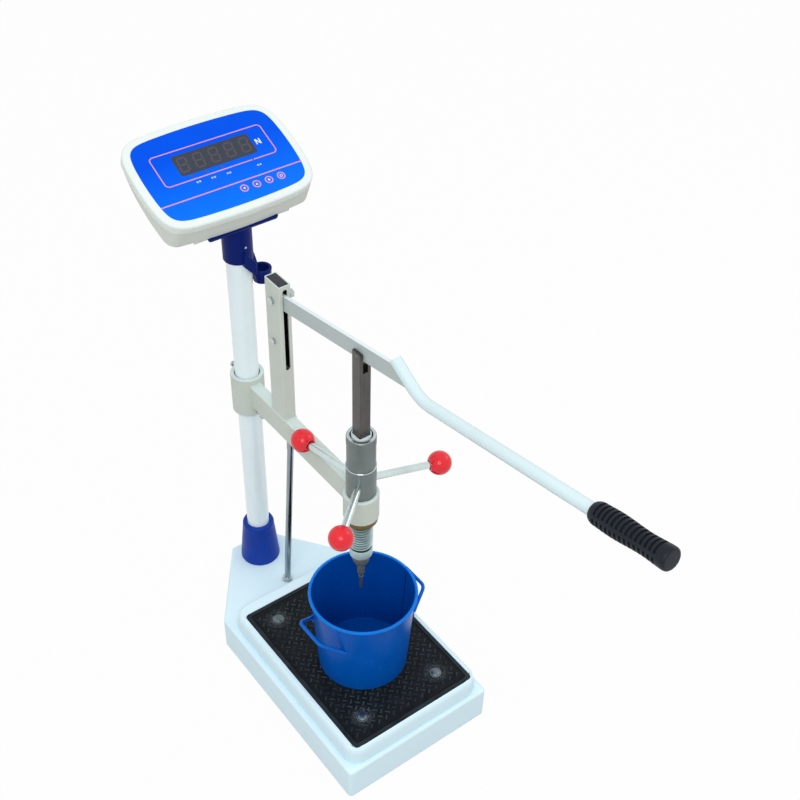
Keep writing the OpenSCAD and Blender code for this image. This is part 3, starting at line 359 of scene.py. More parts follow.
def machined(name, colour, rough, stretch, scale=500.0, depth=0.00006, streak=0.16, stain=0.15,
             stain_colour=shade(60, 52, 44), marks=0.4, metal=1.0, vary=1.0):
    """Bare or plated metal with the lines of its tool, stains and rubbed marks."""
    finish, tree, skin = blank(name, colour, metallic=metal)
    even = use(tree, TONE, (-3, 0), {"Colour": colour, "Amount": 0.14, "Scale": 26.0})
    lines = use(tree, GRAIN, (-3, 2), {"Scale": scale, "Stretch": stretch})
    level = span(tree, (-2, 2), 0.0, 1.0, 1.0 - streak, 1.0 + streak * 0.4)
    drawn = add(tree, "VectorMath", (-1, 0), operation="SCALE")
    stained = use(tree, GRIME, (0, 0), {"Dirt": stain_colour, "Amount": stain, "Scale": 34.0})
    worn = use(tree, SCRATCH, (0, 2), {"Stretch": stretch, "Scale": 30.0, "Amount": marks})
    rubbed = tuple(min(1.0, part * 1.5) for part in colour[:3]) + (1.0,)
    bright = add(tree, "Mix", (2, 0), {"B": rubbed}, data_type="RGBA")
    wire_up(
        tree,
        (even, "Colour", drawn, 0),
        (lines, "Lines", level, "Value"),
        (level, "Result", drawn, "Scale"),
        (drawn, 0, stained, "Colour"),
        (stained, "Colour", bright, "A"),
        (worn, "Mask", bright, "Factor"),
        (bright, "Result", skin, "Base Color"),
    )
    spread_roughness(tree, skin, lines, "Height", rough - 0.07 * vary, rough + 0.12 * vary)
    raise_relief(tree, skin, lines, depth)
    return finish


def moulded(name, colour, rough, grain=1500.0, depth=0.00006, tone=0.05, grime=0.06, dust=0.0, coat=0.0,
            shine=0.3):
    """Moulded plastic or rubber with a fine skin grain."""
    finish, tree, skin = blank(name, colour, coat_weight=coat, coat_roughness=0.06, specular_ior_level=shine)
    even = use(tree, TONE, (-2, 0), {"Colour": colour, "Amount": tone, "Scale": 24.0})
    dirty = use(tree, GRIME, (-1, 0), {"Dirt": shade(92, 90, 84), "Amount": grime, "Scale": 30.0})
    dust_and_light_layer = use(tree, DUST_AND_TOP_LIGHT, (0, 0), {"Amount": dust, "Scale": 90.0})
    skin_of = use(tree, GRAIN, (0, 3), {"Scale": grain})
    layered(tree, skin, even, dirty, dust_and_light_layer)
    spread_roughness(tree, skin, skin_of, "Height", rough - 0.05, rough + 0.08)
    raise_relief(tree, skin, skin_of, depth)
    return finish


def mat_rubber():
    """Black rubber whose raised dashes are rubbed grey, partly real wear and partly a painted highlight on
    their tops, with dust round the screws.
    """
    colour = shade(9, 15, 20)
    finish, tree, skin = blank("mat_rubber", colour, specular_ior_level=0.12)
    even = use(tree, TONE, (-4, 0), {"Colour": colour, "Amount": 0.25, "Scale": 20.0})
    place = add(tree, "TexCoord", (-6, 2))
    parts = add(tree, "SeparateXYZ", (-5, 2))
    # Grey on the dash tops: rubbed wear and a painted highlight together.
    high = span(tree, (-4, 2), (MAT_TOP - 0.3) * MM, (MAT_TOP - 0.05) * MM)
    rub = add(tree, "TexNoise", (-4, 3), {"Scale": 28.0, "Detail": 4.0, "Roughness": 0.6})
    rub_level = span(tree, (-3, 3), 0.34, 0.7, 0.1, 0.7)
    rubbed = add(tree, "Math", (-2, 2), operation="MULTIPLY")
    worn_and_lit_tops = add(tree, "Mix", (-1, 0), {"B": shade(66, 80, 88)}, data_type="RGBA")
    wire_up(
        tree,
        (place, "Object", parts, 0),
        (parts, "Z", high, "Value"),
        (place, "Object", rub, "Vector"),
        (rub, "Fac", rub_level, "Value"),
        (high, "Result", rubbed, 0),
        (rub_level, "Result", rubbed, 1),
        (even, "Colour", worn_and_lit_tops, "A"),
        (rubbed, 0, worn_and_lit_tops, "Factor"),
    )
    near = None
    for index, (x, y) in enumerate(MAT_SCREWS):
        centre = MACHINE @ Vector((x, y, MAT_TOP))
        reach = add(tree, "VectorMath", (-5, 4 + index), {1: tuple(centre)}, operation="DISTANCE")
        wire_up(tree, (place, "Object", reach, 0))
        if near:
            least = add(tree, "Math", (-4, 4 + index), operation="MINIMUM")
            wire_up(tree, (near, "Value", least, 0), (reach, "Value", least, 1))
        near = least if near else reach
    ring = span(tree, (-3, 5), 0.022, 0.006)
    flakes = add(tree, "TexNoise", (-3, 6), {"Scale": 420.0, "Detail": 5.0, "Roughness": 0.75})
    flake_level = span(tree, (-2, 6), 0.46, 0.64, 0.0, 0.75)
    scuffed = add(tree, "Math", (-1, 5), operation="MULTIPLY")
    dusted = add(tree, "Mix", (0, 0), {"B": shade(112, 122, 126)}, data_type="RGBA")
    settled = use(tree, DUST_AND_TOP_LIGHT, (1, 0), {"Dust": shade(84, 94, 100), "Amount": 0.1, "Scale": 95.0})
    grain = use(tree, GRAIN, (1, 3), {"Scale": 1700.0})
    wire_up(
        tree,
        (near, "Value", ring, "Value"),
        (place, "Object", flakes, "Vector"),
        (flakes, "Fac", flake_level, "Value"),
        (ring, "Result", scuffed, 0),
        (flake_level, "Result", scuffed, 1),
        (worn_and_lit_tops, "Result", dusted, "A"),
        (scuffed, 0, dusted, "Factor"),
        (dusted, "Result", settled, "Colour"),
        (settled, "Colour", skin, "Base Color"),
    )
    spread_roughness(tree, skin, rub, "Fac", 0.48, 0.68)
    raise_relief(tree, skin, grain, 0.00008)
    return finish


def mould_enamel():
    """Glossy blue enamel with painted shade on the pot's inner wall, and a scraped floor."""
    # The slightly darker colour of the inner wall is painted shade.
    outside, shaded_inside = shade(0, 86, 180), shade(0, 78, 174)
    finish, tree, skin = blank("mould_enamel", outside, specular_ior_level=0.07)
    place = add(tree, "TexCoord", (-6, 1))
    axis = MACHINE @ MOULD @ Vector((0, 0, 0))
    apart = add(tree, "VectorMath", (-5, 1), {1: (axis.x, axis.y, 0)}, operation="SUBTRACT")
    flat = add(tree, "VectorMath", (-4, 1), {1: (1, 1, 0)}, operation="MULTIPLY")
    face = add(tree, "NewGeometry", (-5, 3))
    side = add(tree, "VectorMath", (-3, 2), operation="DOT_PRODUCT")
    # Mask of the faces that look towards the axis, where the shade is painted.
    inner = span(tree, (-2, 2), -0.0005, -0.004)
    pick = add(tree, "Mix", (-1, 0), {"A": outside, "B": shaded_inside}, data_type="RGBA")
    even = use(tree, TONE, (0, 0), {"Amount": 0.1, "Scale": 18.0})
    dirty = use(tree, GRIME, (1, 0), {"Dirt": shade(0, 52, 128), "Amount": 0.16, "Scale": 20.0})
    worn = use(tree, SCRATCH, (0, 2), {"Stretch": (1, 1, 0.35), "Scale": 55.0, "Amount": 0.12})
    bright = add(tree, "Mix", (2, 0), {"B": shade(70, 140, 214)}, data_type="RGBA")
    peel = use(tree, GRAIN, (1, 4), {"Scale": 330.0})
    wire_up(
        tree,
        (place, "Object", apart, 0),
        (apart, 0, flat, 0),
        (flat, 0, side, 0),
        (face, "Normal", side, 1),
        (side, "Value", inner, "Value"),
        (inner, "Result", pick, "Factor"),
        (pick, "Result", even, "Colour"),
        (even, "Colour", dirty, "Colour"),
        (dirty, "Colour", bright, "A"),
        (worn, "Mask", bright, "Factor"),
        (bright, "Result", skin, "Base Color"),
    )
    spread_roughness(tree, skin, even, "Patch", 0.24, 0.36)
    raise_relief(tree, skin, peel, 0.00008)
    return finish


PRINTED = {"grain": 2600.0, "depth": 0.00003}


def panel_print():
    """Blue printed film that grows lighter towards the keys."""
    finish = moulded("panel_film", shade(12, 92, 238), 0.42, tone=0.06, grime=0.02, shine=0.03, **PRINTED)
    tree = finish.node_tree
    up = (MACHINE @ PANEL).to_3x3() @ Vector((0, 1, 0))
    up.normalize()
    level = (MACHINE @ PANEL @ Vector((0, 0, 0))).dot(up)
    place = add(tree, "TexCoord", (-6, 0))
    along = add(tree, "VectorMath", (-5, 0), {1: tuple(up)}, operation="DOT_PRODUCT")
    fade = span(tree, (-4, 0), level + 0.03, level - 0.07)
    ink = add(tree, "Mix", (-3, 0), {"A": shade(0, 84, 232), "B": shade(12, 116, 251)},
              data_type="RGBA")
    even = [node for node in tree.nodes if node.type == "GROUP" and node.node_tree == TONE][0]
    wire_up(
        tree,
        (place, "Object", along, 0),
        (along, "Value", fade, "Value"),
        (fade, "Result", ink, "Factor"),
        (ink, "Result", even, "Colour"),
    )
    return finish


UPRIGHT_LINES = (1, 1, 0.02)
TURNED_LINES = (0.03, 0.03, 1)
EVEN_LINES = (1, 1, 1)

white_paint = sprayed("white_paint", shade(217, 241, 250), 0.4, tone=0.03, grime=0.04,
                      dirt=shade(150, 162, 168), shine=0.4)
column_paint = sprayed("column_paint", shade(235, 249, 252), 0.2, peel=260.0, depth=0.00006, tone=0.03,
                       grime=0.05, dirt=shade(160, 168, 172), coat=0.2)
# The even pale layer on the cream paint's upward faces is painted top light.
cream_paint = sprayed("cream_paint", shade(203, 212, 202), 0.42, peel=520.0, depth=0.00014, tone=0.07,
                      grime=0.14, dirt=shade(150, 146, 126), dust=0.7, dust_and_light_tint=shade(214, 236, 237),
                      even_top_light=0.7, shine=0.35)
# The even near-white layer on the lever's upward faces is painted top light over a darker paint.
lever_paint = sprayed("lever_paint", shade(182, 194, 193), 0.36, dirt=shade(138, 142, 138), dust=0.95,
                      dust_and_light_tint=shade(236, 246, 248), even_top_light=0.8, shine=0.3)
handle_paint = sprayed("handle_paint", shade(211, 231, 235), 0.24, peel=240.0, depth=0.00007, tone=0.04,
                       grime=0.08, dirt=shade(146, 158, 160), coat=0.2)
# Rim and wire handles use lighter copies of the pot's blue enamel: painted highlight on their rounded
# surfaces.
rim_lit_blue = sprayed("rim_lit_blue", shade(6, 122, 224), 0.3, peel=300.0, tone=0.1, grime=0.12,
                   dirt=shade(0, 66, 150), shine=0.1)
handle_lit_blue = sprayed("handle_lit_blue", shade(6, 104, 206), 0.32, peel=300.0, tone=0.12, grime=0.16,
                      dirt=shade(0, 54, 126), shine=0.1)

boot_blue = moulded("boot_blue", shade(20, 60, 158), 0.34, grain=700.0, tone=0.1, shine=0.1)
head_navy = moulded("head_navy", shade(4, 28, 106), 0.36, grain=800.0, depth=0.00008, tone=0.12, grime=0.02,
                    shine=0.08)
cap_black = moulded("cap_black", shade(40, 43, 52), 0.42, tone=0.1, dust=0.06)
# Near-black used for painted shade inside the upright's slot.
slot_shade_black = moulded("slot_shade_black", shade(10, 11, 11), 0.7, tone=0.2, shine=0.1)
grip_rubber = moulded("grip_rubber", shade(22, 29, 38), 0.44, grain=1400.0, depth=0.0001, tone=0.15,
                      grime=0.02, shine=0.2)
foot_rubber = moulded("foot_rubber", shade(40, 41, 43), 0.6, grain=900.0, depth=0.0001, tone=0.12, dust=0.06)
ball_red = moulded("ball_red", shade(230, 34, 48), 0.18, grain=500.0, depth=0.00002, tone=0.08, grime=0.03,
                   coat=0.12)
bezel_plastic = moulded("bezel_plastic", shade(229, 237, 233), 0.42, grain=1900.0, tone=0.03, grime=0.03)
housing_plastic = moulded("housing_plastic", shade(216, 221, 212), 0.46, grain=1900.0, tone=0.04, grime=0.05)
pink_print = moulded("pink_print", shade(230, 154, 190), 0.4, shine=0.2, **PRINTED)
white_print = moulded("white_print", shade(232, 236, 242), 0.4, tone=0.04, shine=0.2, **PRINTED)
key_blue = moulded("key_blue", shade(18, 104, 240), 0.36, tone=0.06, shine=0.2, **PRINTED)
lamp_brown = moulded("lamp_brown", shade(92, 66, 66), 0.2, grain=900.0, depth=0.00002, tone=0.1, coat=0.2)
window_smoke = moulded("window_smoke", shade(60, 67, 79), 0.2, grain=300.0, depth=0.00001, tone=0.08,
                       grime=0.02, shine=0.12)
digit_grey = moulded("digit_grey", shade(88, 82, 88), 0.3, grain=900.0, depth=0.00001, tone=0.06, shine=0.1)
board_green = moulded("board_green", shade(26, 84, 46), 0.4, grain=900.0, depth=0.00004, tone=0.2, dust=0.06)
bush_white = moulded("bush_white", shade(222, 234, 236), 0.4, grain=900.0, depth=0.00005, grime=0.05,
                     dust=0.06)

frame_steel = machined("frame_steel", shade(150, 152, 152), 0.42, EVEN_LINES, scale=180.0)
screw_dark = machined("screw_dark", shade(112, 126, 132), 0.34, EVEN_LINES, scale=700.0, stain=0.35)
bright_zinc = machined("bright_zinc", shade(196, 206, 209), 0.2, TURNED_LINES, depth=0.00002, streak=0.08,
                       stain=0.1)
rod_zinc = machined("rod_zinc", shade(150, 161, 164), 0.2, UPRIGHT_LINES, scale=300.0, depth=0.00003,
                    streak=0.12, stain=0.14)
spoke_zinc = machined("spoke_zinc", shade(212, 226, 225), 0.26, EVEN_LINES, scale=60.0, depth=0.000001,
                      streak=0.02, stain=0.05, marks=0.03, vary=0.15)
turned_steel = machined("turned_steel", shade(122, 132, 130), 0.38, TURNED_LINES, scale=300.0, depth=0.000006,
                        streak=0.05, stain=0.1, marks=0.1)
thread_steel = machined("thread_steel", shade(186, 207, 209), 0.34, TURNED_LINES, scale=600.0, depth=0.00003,
                        stain=0.3)
ground_steel = machined("ground_steel", shade(96, 95, 93), 0.34, UPRIGHT_LINES, scale=420.0, depth=0.00004,
                        streak=0.2, stain=0.35, stain_colour=shade(62, 56, 52))
gunmetal = machined("gunmetal", shade(118, 125, 120), 0.42, TURNED_LINES, depth=0.00002, stain=0.2, metal=0.7)
needle_steel = machined("needle_steel", shade(112, 120, 118), 0.38, TURNED_LINES, depth=0.00002, stain=0.2,
                        metal=0.7)
# Dark steel for the core that shows between the thread's teeth: painted shade in the thread valleys.
valley_shade_steel = machined("valley_shade_steel", shade(50, 60, 62), 0.45, TURNED_LINES, scale=400.0, depth=0.00002,
                       stain=0.3)
brass = machined("brass", shade(122, 100, 62), 0.32, TURNED_LINES, scale=420.0, depth=0.00003, streak=0.2,
                 stain=0.4, stain_colour=shade(66, 52, 32))
cell_metal = machined("cell_metal", shade(184, 188, 190), 0.34, (0.03, 1, 1), scale=400.0)

panel_blue = panel_print()
mat_black = mat_rubber()
mould_blue = mould_enamel()


# Modelling helpers
def merged(node, whole=True):
    """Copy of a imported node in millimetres, with its triangles joined and, if wanted, flat faces whole."""
    shape = bmesh.new()
    shape.from_mesh(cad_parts[node].data)
    bmesh.ops.transform(shape, matrix=MACHINE.inverted(), verts=shape.verts)
    bmesh.ops.remove_doubles(shape, verts=shape.verts, dist=0.003)
    if whole:
        bmesh.ops.dissolve_limit(shape, angle_limit=math.radians(0.4), verts=shape.verts, edges=shape.edges)
    return shape


def rounded(shape, width, segments=2, sharp=32, where=None):
    """Eases the edges that are sharper than an angle."""
    edges = [
        edge for edge in shape.edges
        if len(edge.link_faces) == 2 and edge.calc_face_angle() > math.radians(sharp)
        and (where is None or where(edge))
    ]
    bmesh.ops.bevel(
        shape, geom=edges, offset=width, offset_type="OFFSET", segments=segments, profile=0.5, affect="EDGES",
        clamp_overlap=False, material=-1, miter_outer="ARC",
    )
    return shape


def above(level):
    """Test for the edges that lie wholly over a level."""
    return lambda edge: all(vert.co.z > level for vert in edge.verts)


def lathed(profile, steps=64, closed=False):
    """Turned shape about the upright axis from points of radius and height."""
    shape = bmesh.new()
    points = [shape.verts.new((radius, 0, height)) for radius, height in profile]
    edges = [shape.edges.new(pair) for pair in zip(points, points[1:])]
    if closed:
        edges.append(shape.edges.new((points[-1], points[0])))
    bmesh.ops.spin(shape, geom=points + edges, cent=(0, 0, 0), axis=(0, 0, 1), angle=2 * math.pi, steps=steps,
                   use_merge=True)
    bmesh.ops.remove_doubles(shape, verts=shape.verts, dist=0.002)
    bmesh.ops.recalc_face_normals(shape, faces=shape.faces)
    return shape


def moved(shape, *matrices):
    for matrix in matrices:
        bmesh.ops.transform(shape, matrix=matrix, verts=shape.verts)
    return shape


def lowered(shape, level, drop):
    """Draws out the part of a shape below a level."""
    for vert in shape.verts:
        if vert.co.z < level:
            vert.co.z -= drop
    return shape


def joined(*shapes):
    """One shape from several."""
    whole = bmesh.new()
    for shape in shapes:
        store = bpy.data.meshes.new("part")
        shape.to_mesh(store)
        shape.free()
        whole.from_mesh(store)
        bpy.data.meshes.remove(store)
    return whole


def soft_face(width, height, corner, steps):
    """Flat face with rounded corners on the plane z = 0."""
    shape = bmesh.new()
    bmesh.ops.create_grid(shape, x_segments=1, y_segments=1, size=0.5)
    bmesh.ops.scale(shape, vec=(width, height, 1), verts=shape.verts)
    if corner:
        bmesh.ops.bevel(shape, geom=shape.verts[:], offset=corner, offset_type="OFFSET", segments=steps,
                        profile=0.5, affect="VERTICES", clamp_overlap=True, material=-1)
    return shape


def plate(width, height, corner, thickness, steps=6):
    """Flat rounded plate that lies on the plane z = 0."""
    return thickened(soft_face(width, height, corner, steps), thickness)


def thickened(shape, thickness):
    """Closed slab raised from flat faces on the plane z = 0."""
    under = shape.faces[:]
    copy = bmesh.ops.duplicate(shape, geom=under)
    below = [item for item in copy["geom"] if isinstance(item, bmesh.types.BMFace)]
    raised = bmesh.ops.extrude_face_region(shape, geom=under)
    tops = [item for item in raised["geom"] if isinstance(item, bmesh.types.BMVert)]
    bmesh.ops.translate(shape, vec=(0, 0, thickness), verts=tops)
    bmesh.ops.delete(shape, geom=[face for face in under if face.is_valid], context="FACES_ONLY")
    bmesh.ops.reverse_faces(shape, faces=below)
    bmesh.ops.remove_doubles(shape, verts=shape.verts, dist=0.0005)
    bmesh.ops.recalc_face_normals(shape, faces=shape.faces)
    return shape


def outline(points, thickness):
    """Slab of a polygon's shape on the plane z = 0."""
    shape = bmesh.new()
    shape.faces.new([shape.verts.new((x, y, 0)) for x, y in points])
    bmesh.ops.recalc_face_normals(shape, faces=shape.faces)
    return thickened(shape, thickness)


def frame_strip(width, height, corner, band, thickness):
    """Closed band round a rounded rectangle."""
    shape = soft_face(width, height, corner, 7)
    inner = shape.faces[:]
    bmesh.ops.inset_region(shape, faces=inner, thickness=band, use_boundary=True, use_even_offset=True)
    bmesh.ops.delete(shape, geom=inner, context="FACES_ONLY")
    return thickened(shape, thickness)


def soft_ring(width, height, corner, level, steps=6):
    """Points round a rounded rectangle at a level."""
    points = []
    for quarter in range(4):
        right, top = ((1, 1), (-1, 1), (-1, -1), (1, -1))[quarter]
        for step in range(steps + 1):
            turn = math.radians(90 * (quarter + step / steps))
            points.append((right * (width / 2 - corner) + corner * math.cos(turn),
                           top * (height / 2 - corner) + corner * math.sin(turn), level))
    return points


def evened(loop, count, passes):
    """Loop of evenly spaced points whose corners are softened."""
    ring = loop + loop[:1]
    lengths = [0.0]
    for start, end in zip(ring, ring[1:]):
        lengths.append(lengths[-1] + (end - start).length)
    spaced, index = [], 0
    for step in range(count):
        want = lengths[-1] * step / count
        while lengths[index + 1] < want:
            index += 1
        share = (want - lengths[index]) / max(lengths[index + 1] - lengths[index], 1e-9)
        spaced.append(ring[index].lerp(ring[index + 1], share))
    for _ in range(passes):
        spaced = [(spaced[k - 1] + spaced[k] * 2 + spaced[(k + 1) % count]) / 4 for k in range(count)]
    return spaced


def skinned(rings, looped=False):
    """Closed skin over rings of points, with flat ends or joined into a loop."""
    shape = bmesh.new()
    loops = [[shape.verts.new(point) for point in ring] for ring in rings]
    for low, high in zip(loops, loops[1:] + loops[:1] if looped else loops[1:]):
        for index in range(len(low)):
            after = (index + 1) % len(low)
            shape.faces.new((low[index], low[after], high[after], high[index]))
    if not looped:
        shape.faces.new(loops[0])
        shape.faces.new(loops[-1])
    bmesh.ops.recalc_face_normals(shape, faces=shape.faces)
    return shape


def eased_path(points, radius, closed=False, steps=8):
    """Path whose corners turn softly."""
    points = [Vector(point) for point in points]
    path = []
    count = len(points)
    for index, point in enumerate(points):
        if not closed and index in (0, count - 1):
            path.append(point)
            continue
        back, on = points[index - 1] - point, points[(index + 1) % count] - point
        reach = min(radius, back.length * 0.49, on.length * 0.49)
        start, end = point + back.normalized() * reach, point + on.normalized() * reach
        for step in range(steps + 1):
            t = step / steps
            path.append(start * (1 - t) ** 2 + point * 2 * t * (1 - t) + end * t * t)
    return path


def rod_along(path, radius, closed=False, sides=4):
    """Round wire along a path."""
    line = bpy.data.curves.new("wire", "CURVE")
    line.dimensions = "3D"
    line.bevel_depth = radius
    line.bevel_resolution = sides
    line.use_fill_caps = True
    spline = line.splines.new("POLY")
    spline.points.add(len(path) - 1)
    for place, point in zip(spline.points, path):
        place.co = (*point, 1)
    spline.use_cyclic_u = closed
    holder = bpy.data.objects.new("wire", line)
    bpy.context.scene.collection.objects.link(holder)
    bpy.context.view_layer.update()
    store = bpy.data.meshes.new_from_object(holder.evaluated_get(bpy.context.evaluated_depsgraph_get()))
    shape = bmesh.new()
    shape.from_mesh(store)
    bpy.data.objects.remove(holder)
    bpy.data.curves.remove(line)
    bpy.data.meshes.remove(store)
    bmesh.ops.remove_doubles(shape, verts=shape.verts, dist=0.002)
    bmesh.ops.recalc_face_normals(shape, faces=shape.faces)
    return shape


def bead(path, radius, closed=True):
    """Weld bead with the ripples of its passes."""
    spaced = []
    ring = path + [path[0]] if closed else path
    for start, end in zip(ring, ring[1:]):
        steps = max(1, round((end - start).length / 1.4))
        spaced += [start.lerp(end, step / steps) for step in range(steps)]
    if not closed:
        spaced.append(ring[-1])
    shape = rod_along(spaced, radius, closed, 3)
    for vert in shape.verts:
        nearest = min(range(len(spaced)), key=lambda index: (spaced[index] - vert.co).length_squared)
        swell = 1.0 + 0.16 * math.sin(nearest * 2.4) + 0.09 * math.sin(nearest * 0.9)
        vert.co = spaced[nearest] + (vert.co - spaced[nearest]) * swell
    return shape


def piece(name, shape, body, finish, slot, *nodes, crease=34, weighted=True):
    """Finished piece in metres that rides on a body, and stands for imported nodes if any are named."""
    bmesh.ops.transform(shape, matrix=MACHINE, verts=shape.verts)
    for face in shape.faces:
        face.smooth = True
        face.material_index = 0
    limit = math.radians(crease)
    for edge in shape.edges:
        edge.smooth = len(edge.link_faces) == 2 and edge.calc_face_angle(0) < limit
    mesh = bpy.data.meshes.new(name)
    shape.to_mesh(mesh)
    shape.free()
    for layer in [layer.name for layer in mesh.attributes if layer.name == "custom_normal"]:
        mesh.attributes.remove(mesh.attributes[layer])
    mesh.materials.clear()
    mesh.materials.append(finish)
    made = bpy.data.objects.new(name, mesh)
    bpy.context.scene.collection.objects.link(made)
    if weighted:
        normals = made.modifiers.new("face_weight", "WEIGHTED_NORMAL")
        normals.keep_sharp = True
    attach(made, body)
    if nodes:
        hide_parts(*nodes)
    return made


def softened(name, node, body, finish, slot, width, segments=2, sharp=32):
    """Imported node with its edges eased, as a piece that stands for it."""
    piece(name, rounded(merged(node), width, segments, sharp), body, finish, slot, node)


def kept(node, finish):
    """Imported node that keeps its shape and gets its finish."""
    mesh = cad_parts[node].data
    mesh.materials.clear()
    mesh.materials.append(finish)


# Base
def dress_base():
    on_ledge = above(LEDGE - 0.1)
    cover = merged("base_cover")
    rounded(cover, 4.0, 5, where=lambda edge: on_ledge(edge) and outer_edge(edge))
    rounded(cover, 0.9, 3, where=lambda edge: on_ledge(edge) and not outer_edge(edge))
    piece("base_skirt_cover", cover, "stand", white_paint, "white_paint", "base_cover")
    wide, deep, corner, low, brow, rise, lean = 250, 350, 24, 57.2, 85, 14, 6.4
    pan = [soft_ring(wide - 3, deep - 3, corner - 1.5, level) for level in (94.4, low)]
    pan.append(soft_ring(wide, deep, corner, low))
    for turn in (math.radians(11.25 * k) for k in range(9)):
        inset = lean - lean * math.cos(turn)
        level = brow + rise * math.sin(turn)
        pan.append(soft_ring(wide - 2 * inset, deep - 2 * inset, corner - inset * 0.5, level))
    for across, level in ((229.4, 99), (228.8, 98.7), (228.6, 96)):
        pan.append([(x, y - 8.5, z) for x, y, z in soft_ring(across, across + 91, 7, level)])
    piece("weighing_pan", moved(skinned(pan), at(0, 21, 0)), "stand", white_paint, "white_paint", "weigh_pan")
    near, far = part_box("weigh_pan")
    centre = MACHINE.inverted() @ ((near + far) / 2)
    seal = moved(frame_strip(wide + 3.6, deep + 3.6, 25.8, 2.2, 1.0), at(centre.x, centre.y, LEDGE - 1.9))
    piece("pan_gap_seal", seal, "stand", white_paint, "white_paint")
    feet = lathed([(0, 0.0), (11.5, 0.0), (13.2, 0.8), (14, 2.2), (13.4, 6), (0, 6)], 40)
    places = [(x, y) for x in (-105, 105) for y in (-131, 180)] + [(0, 322)]
    row = [moved(feet.copy(), at(x, y, 0)) for x, y in places]
    feet.free()
    piece("levelling_feet", joined(*row), "stand", foot_rubber, "black_rubber", "rubber_feet")
    kept("load_cell", cell_metal)
    for node in ("base_plate", "cell_blocks", "pan_spider", "column_post", "column_flange"):
        kept(node, frame_steel)


def outer_edge(edge):
    """True on the outer rim of the base's top."""
    side, front, rear, tail, tail_side = 128, -157, 219, 204, 60
    spot = (edge.verts[0].co + edge.verts[1].co) / 2
    across = abs(spot.x)
    return across > side or spot.y < front or spot.y > rear or (spot.y > tail and across > tail_side)


def dress_mat():
    slab = skinned([
        soft_ring(228, 319, 6.5, -3.3), soft_ring(228, 319, 6.5, -0.5), soft_ring(227.5, 318.5, 6.3, -0.12),
        soft_ring(226.8, 317.8, 6.0, 0), soft_ring(214.6, 305.6, 4.0, 0), soft_ring(213.4, 304.4, 3.6, -1.0),
        soft_ring(212.2, 303.2, 3.2, -1.0), soft_ring(210.8, 301.8, 2.8, -0.15),
    ])
    moved(slab, at(0, MAT_MID, MAT_TOP - 0.15))
    proud = 0.36
    dash = soft_face(8.8, 2.7, 1.2, 3)
    bmesh.ops.inset_region(dash, faces=dash.faces[:], thickness=0.5, depth=proud, use_boundary=True,
                           use_even_offset=True)
    store = bpy.data.meshes.new("dash")
    dash.to_mesh(store)
    dash.free()
    step = 9.9 * 0.7071
    edge_x, edge_y, screw_room = 101, 146.5, 11.5
    for i in range(-30, 31):
        for j in range(-30, 31):
            x, y = (i + j) * step, (j - i) * step + MAT_MID
            if abs(x) > edge_x or abs(y - MAT_MID) > edge_y:
                continue
            if any(math.hypot(x - sx, y - sy) < screw_room for sx, sy in MAT_SCREWS):
                continue
            first = len(slab.verts)
            slab.from_mesh(store)
            slab.verts.ensure_lookup_table()
            put = at(x, y, MAT_TOP - proud) @ turned(-45 if (i + j) % 2 else 45, "Z")
            bmesh.ops.transform(slab, matrix=put, verts=slab.verts[first:])
    bpy.data.meshes.remove(store)
    piece("dashed_mat", slab, "stand", mat_black, "black_rubber", "rubber_mat", crease=48)
    screws = []
    for index, (x, y) in enumerate(MAT_SCREWS):
        head = lathed([(7, -1.0), (7, 0.3), (6.6, 0.85), (5.4, 1.45), (3.6, 1.95), (1.8, 2.15), (0, 2.2)], 40)
        recess = cross_recess(6.0, 1.25, 2.1)
        screws.append(moved(joined(head, recess), turned(18 + 31 * index, "Z"), at(x, y, MAT_TOP)))
        collar = lathed([(7, 0.02), (8.6, 0.12), (9.4, -0.2), (9.4, -0.4), (7, -0.4)], 40, closed=True)
        screws.append(moved(collar, at(x, y, MAT_TOP - 0.1)))
    piece("mat_screw_heads", joined(*screws), "stand", screw_dark, "dark_screw", "mat_screws")


def cross_recess(length, width, height):
    """Cross of a screw head, drawn as two low bars."""
    bars = [plate(length, width, 0.3, 0.06, 2) for _ in range(2)]
    return moved(joined(bars[0], moved(bars[1], turned(90, "Z"))), at(0, 0, height))


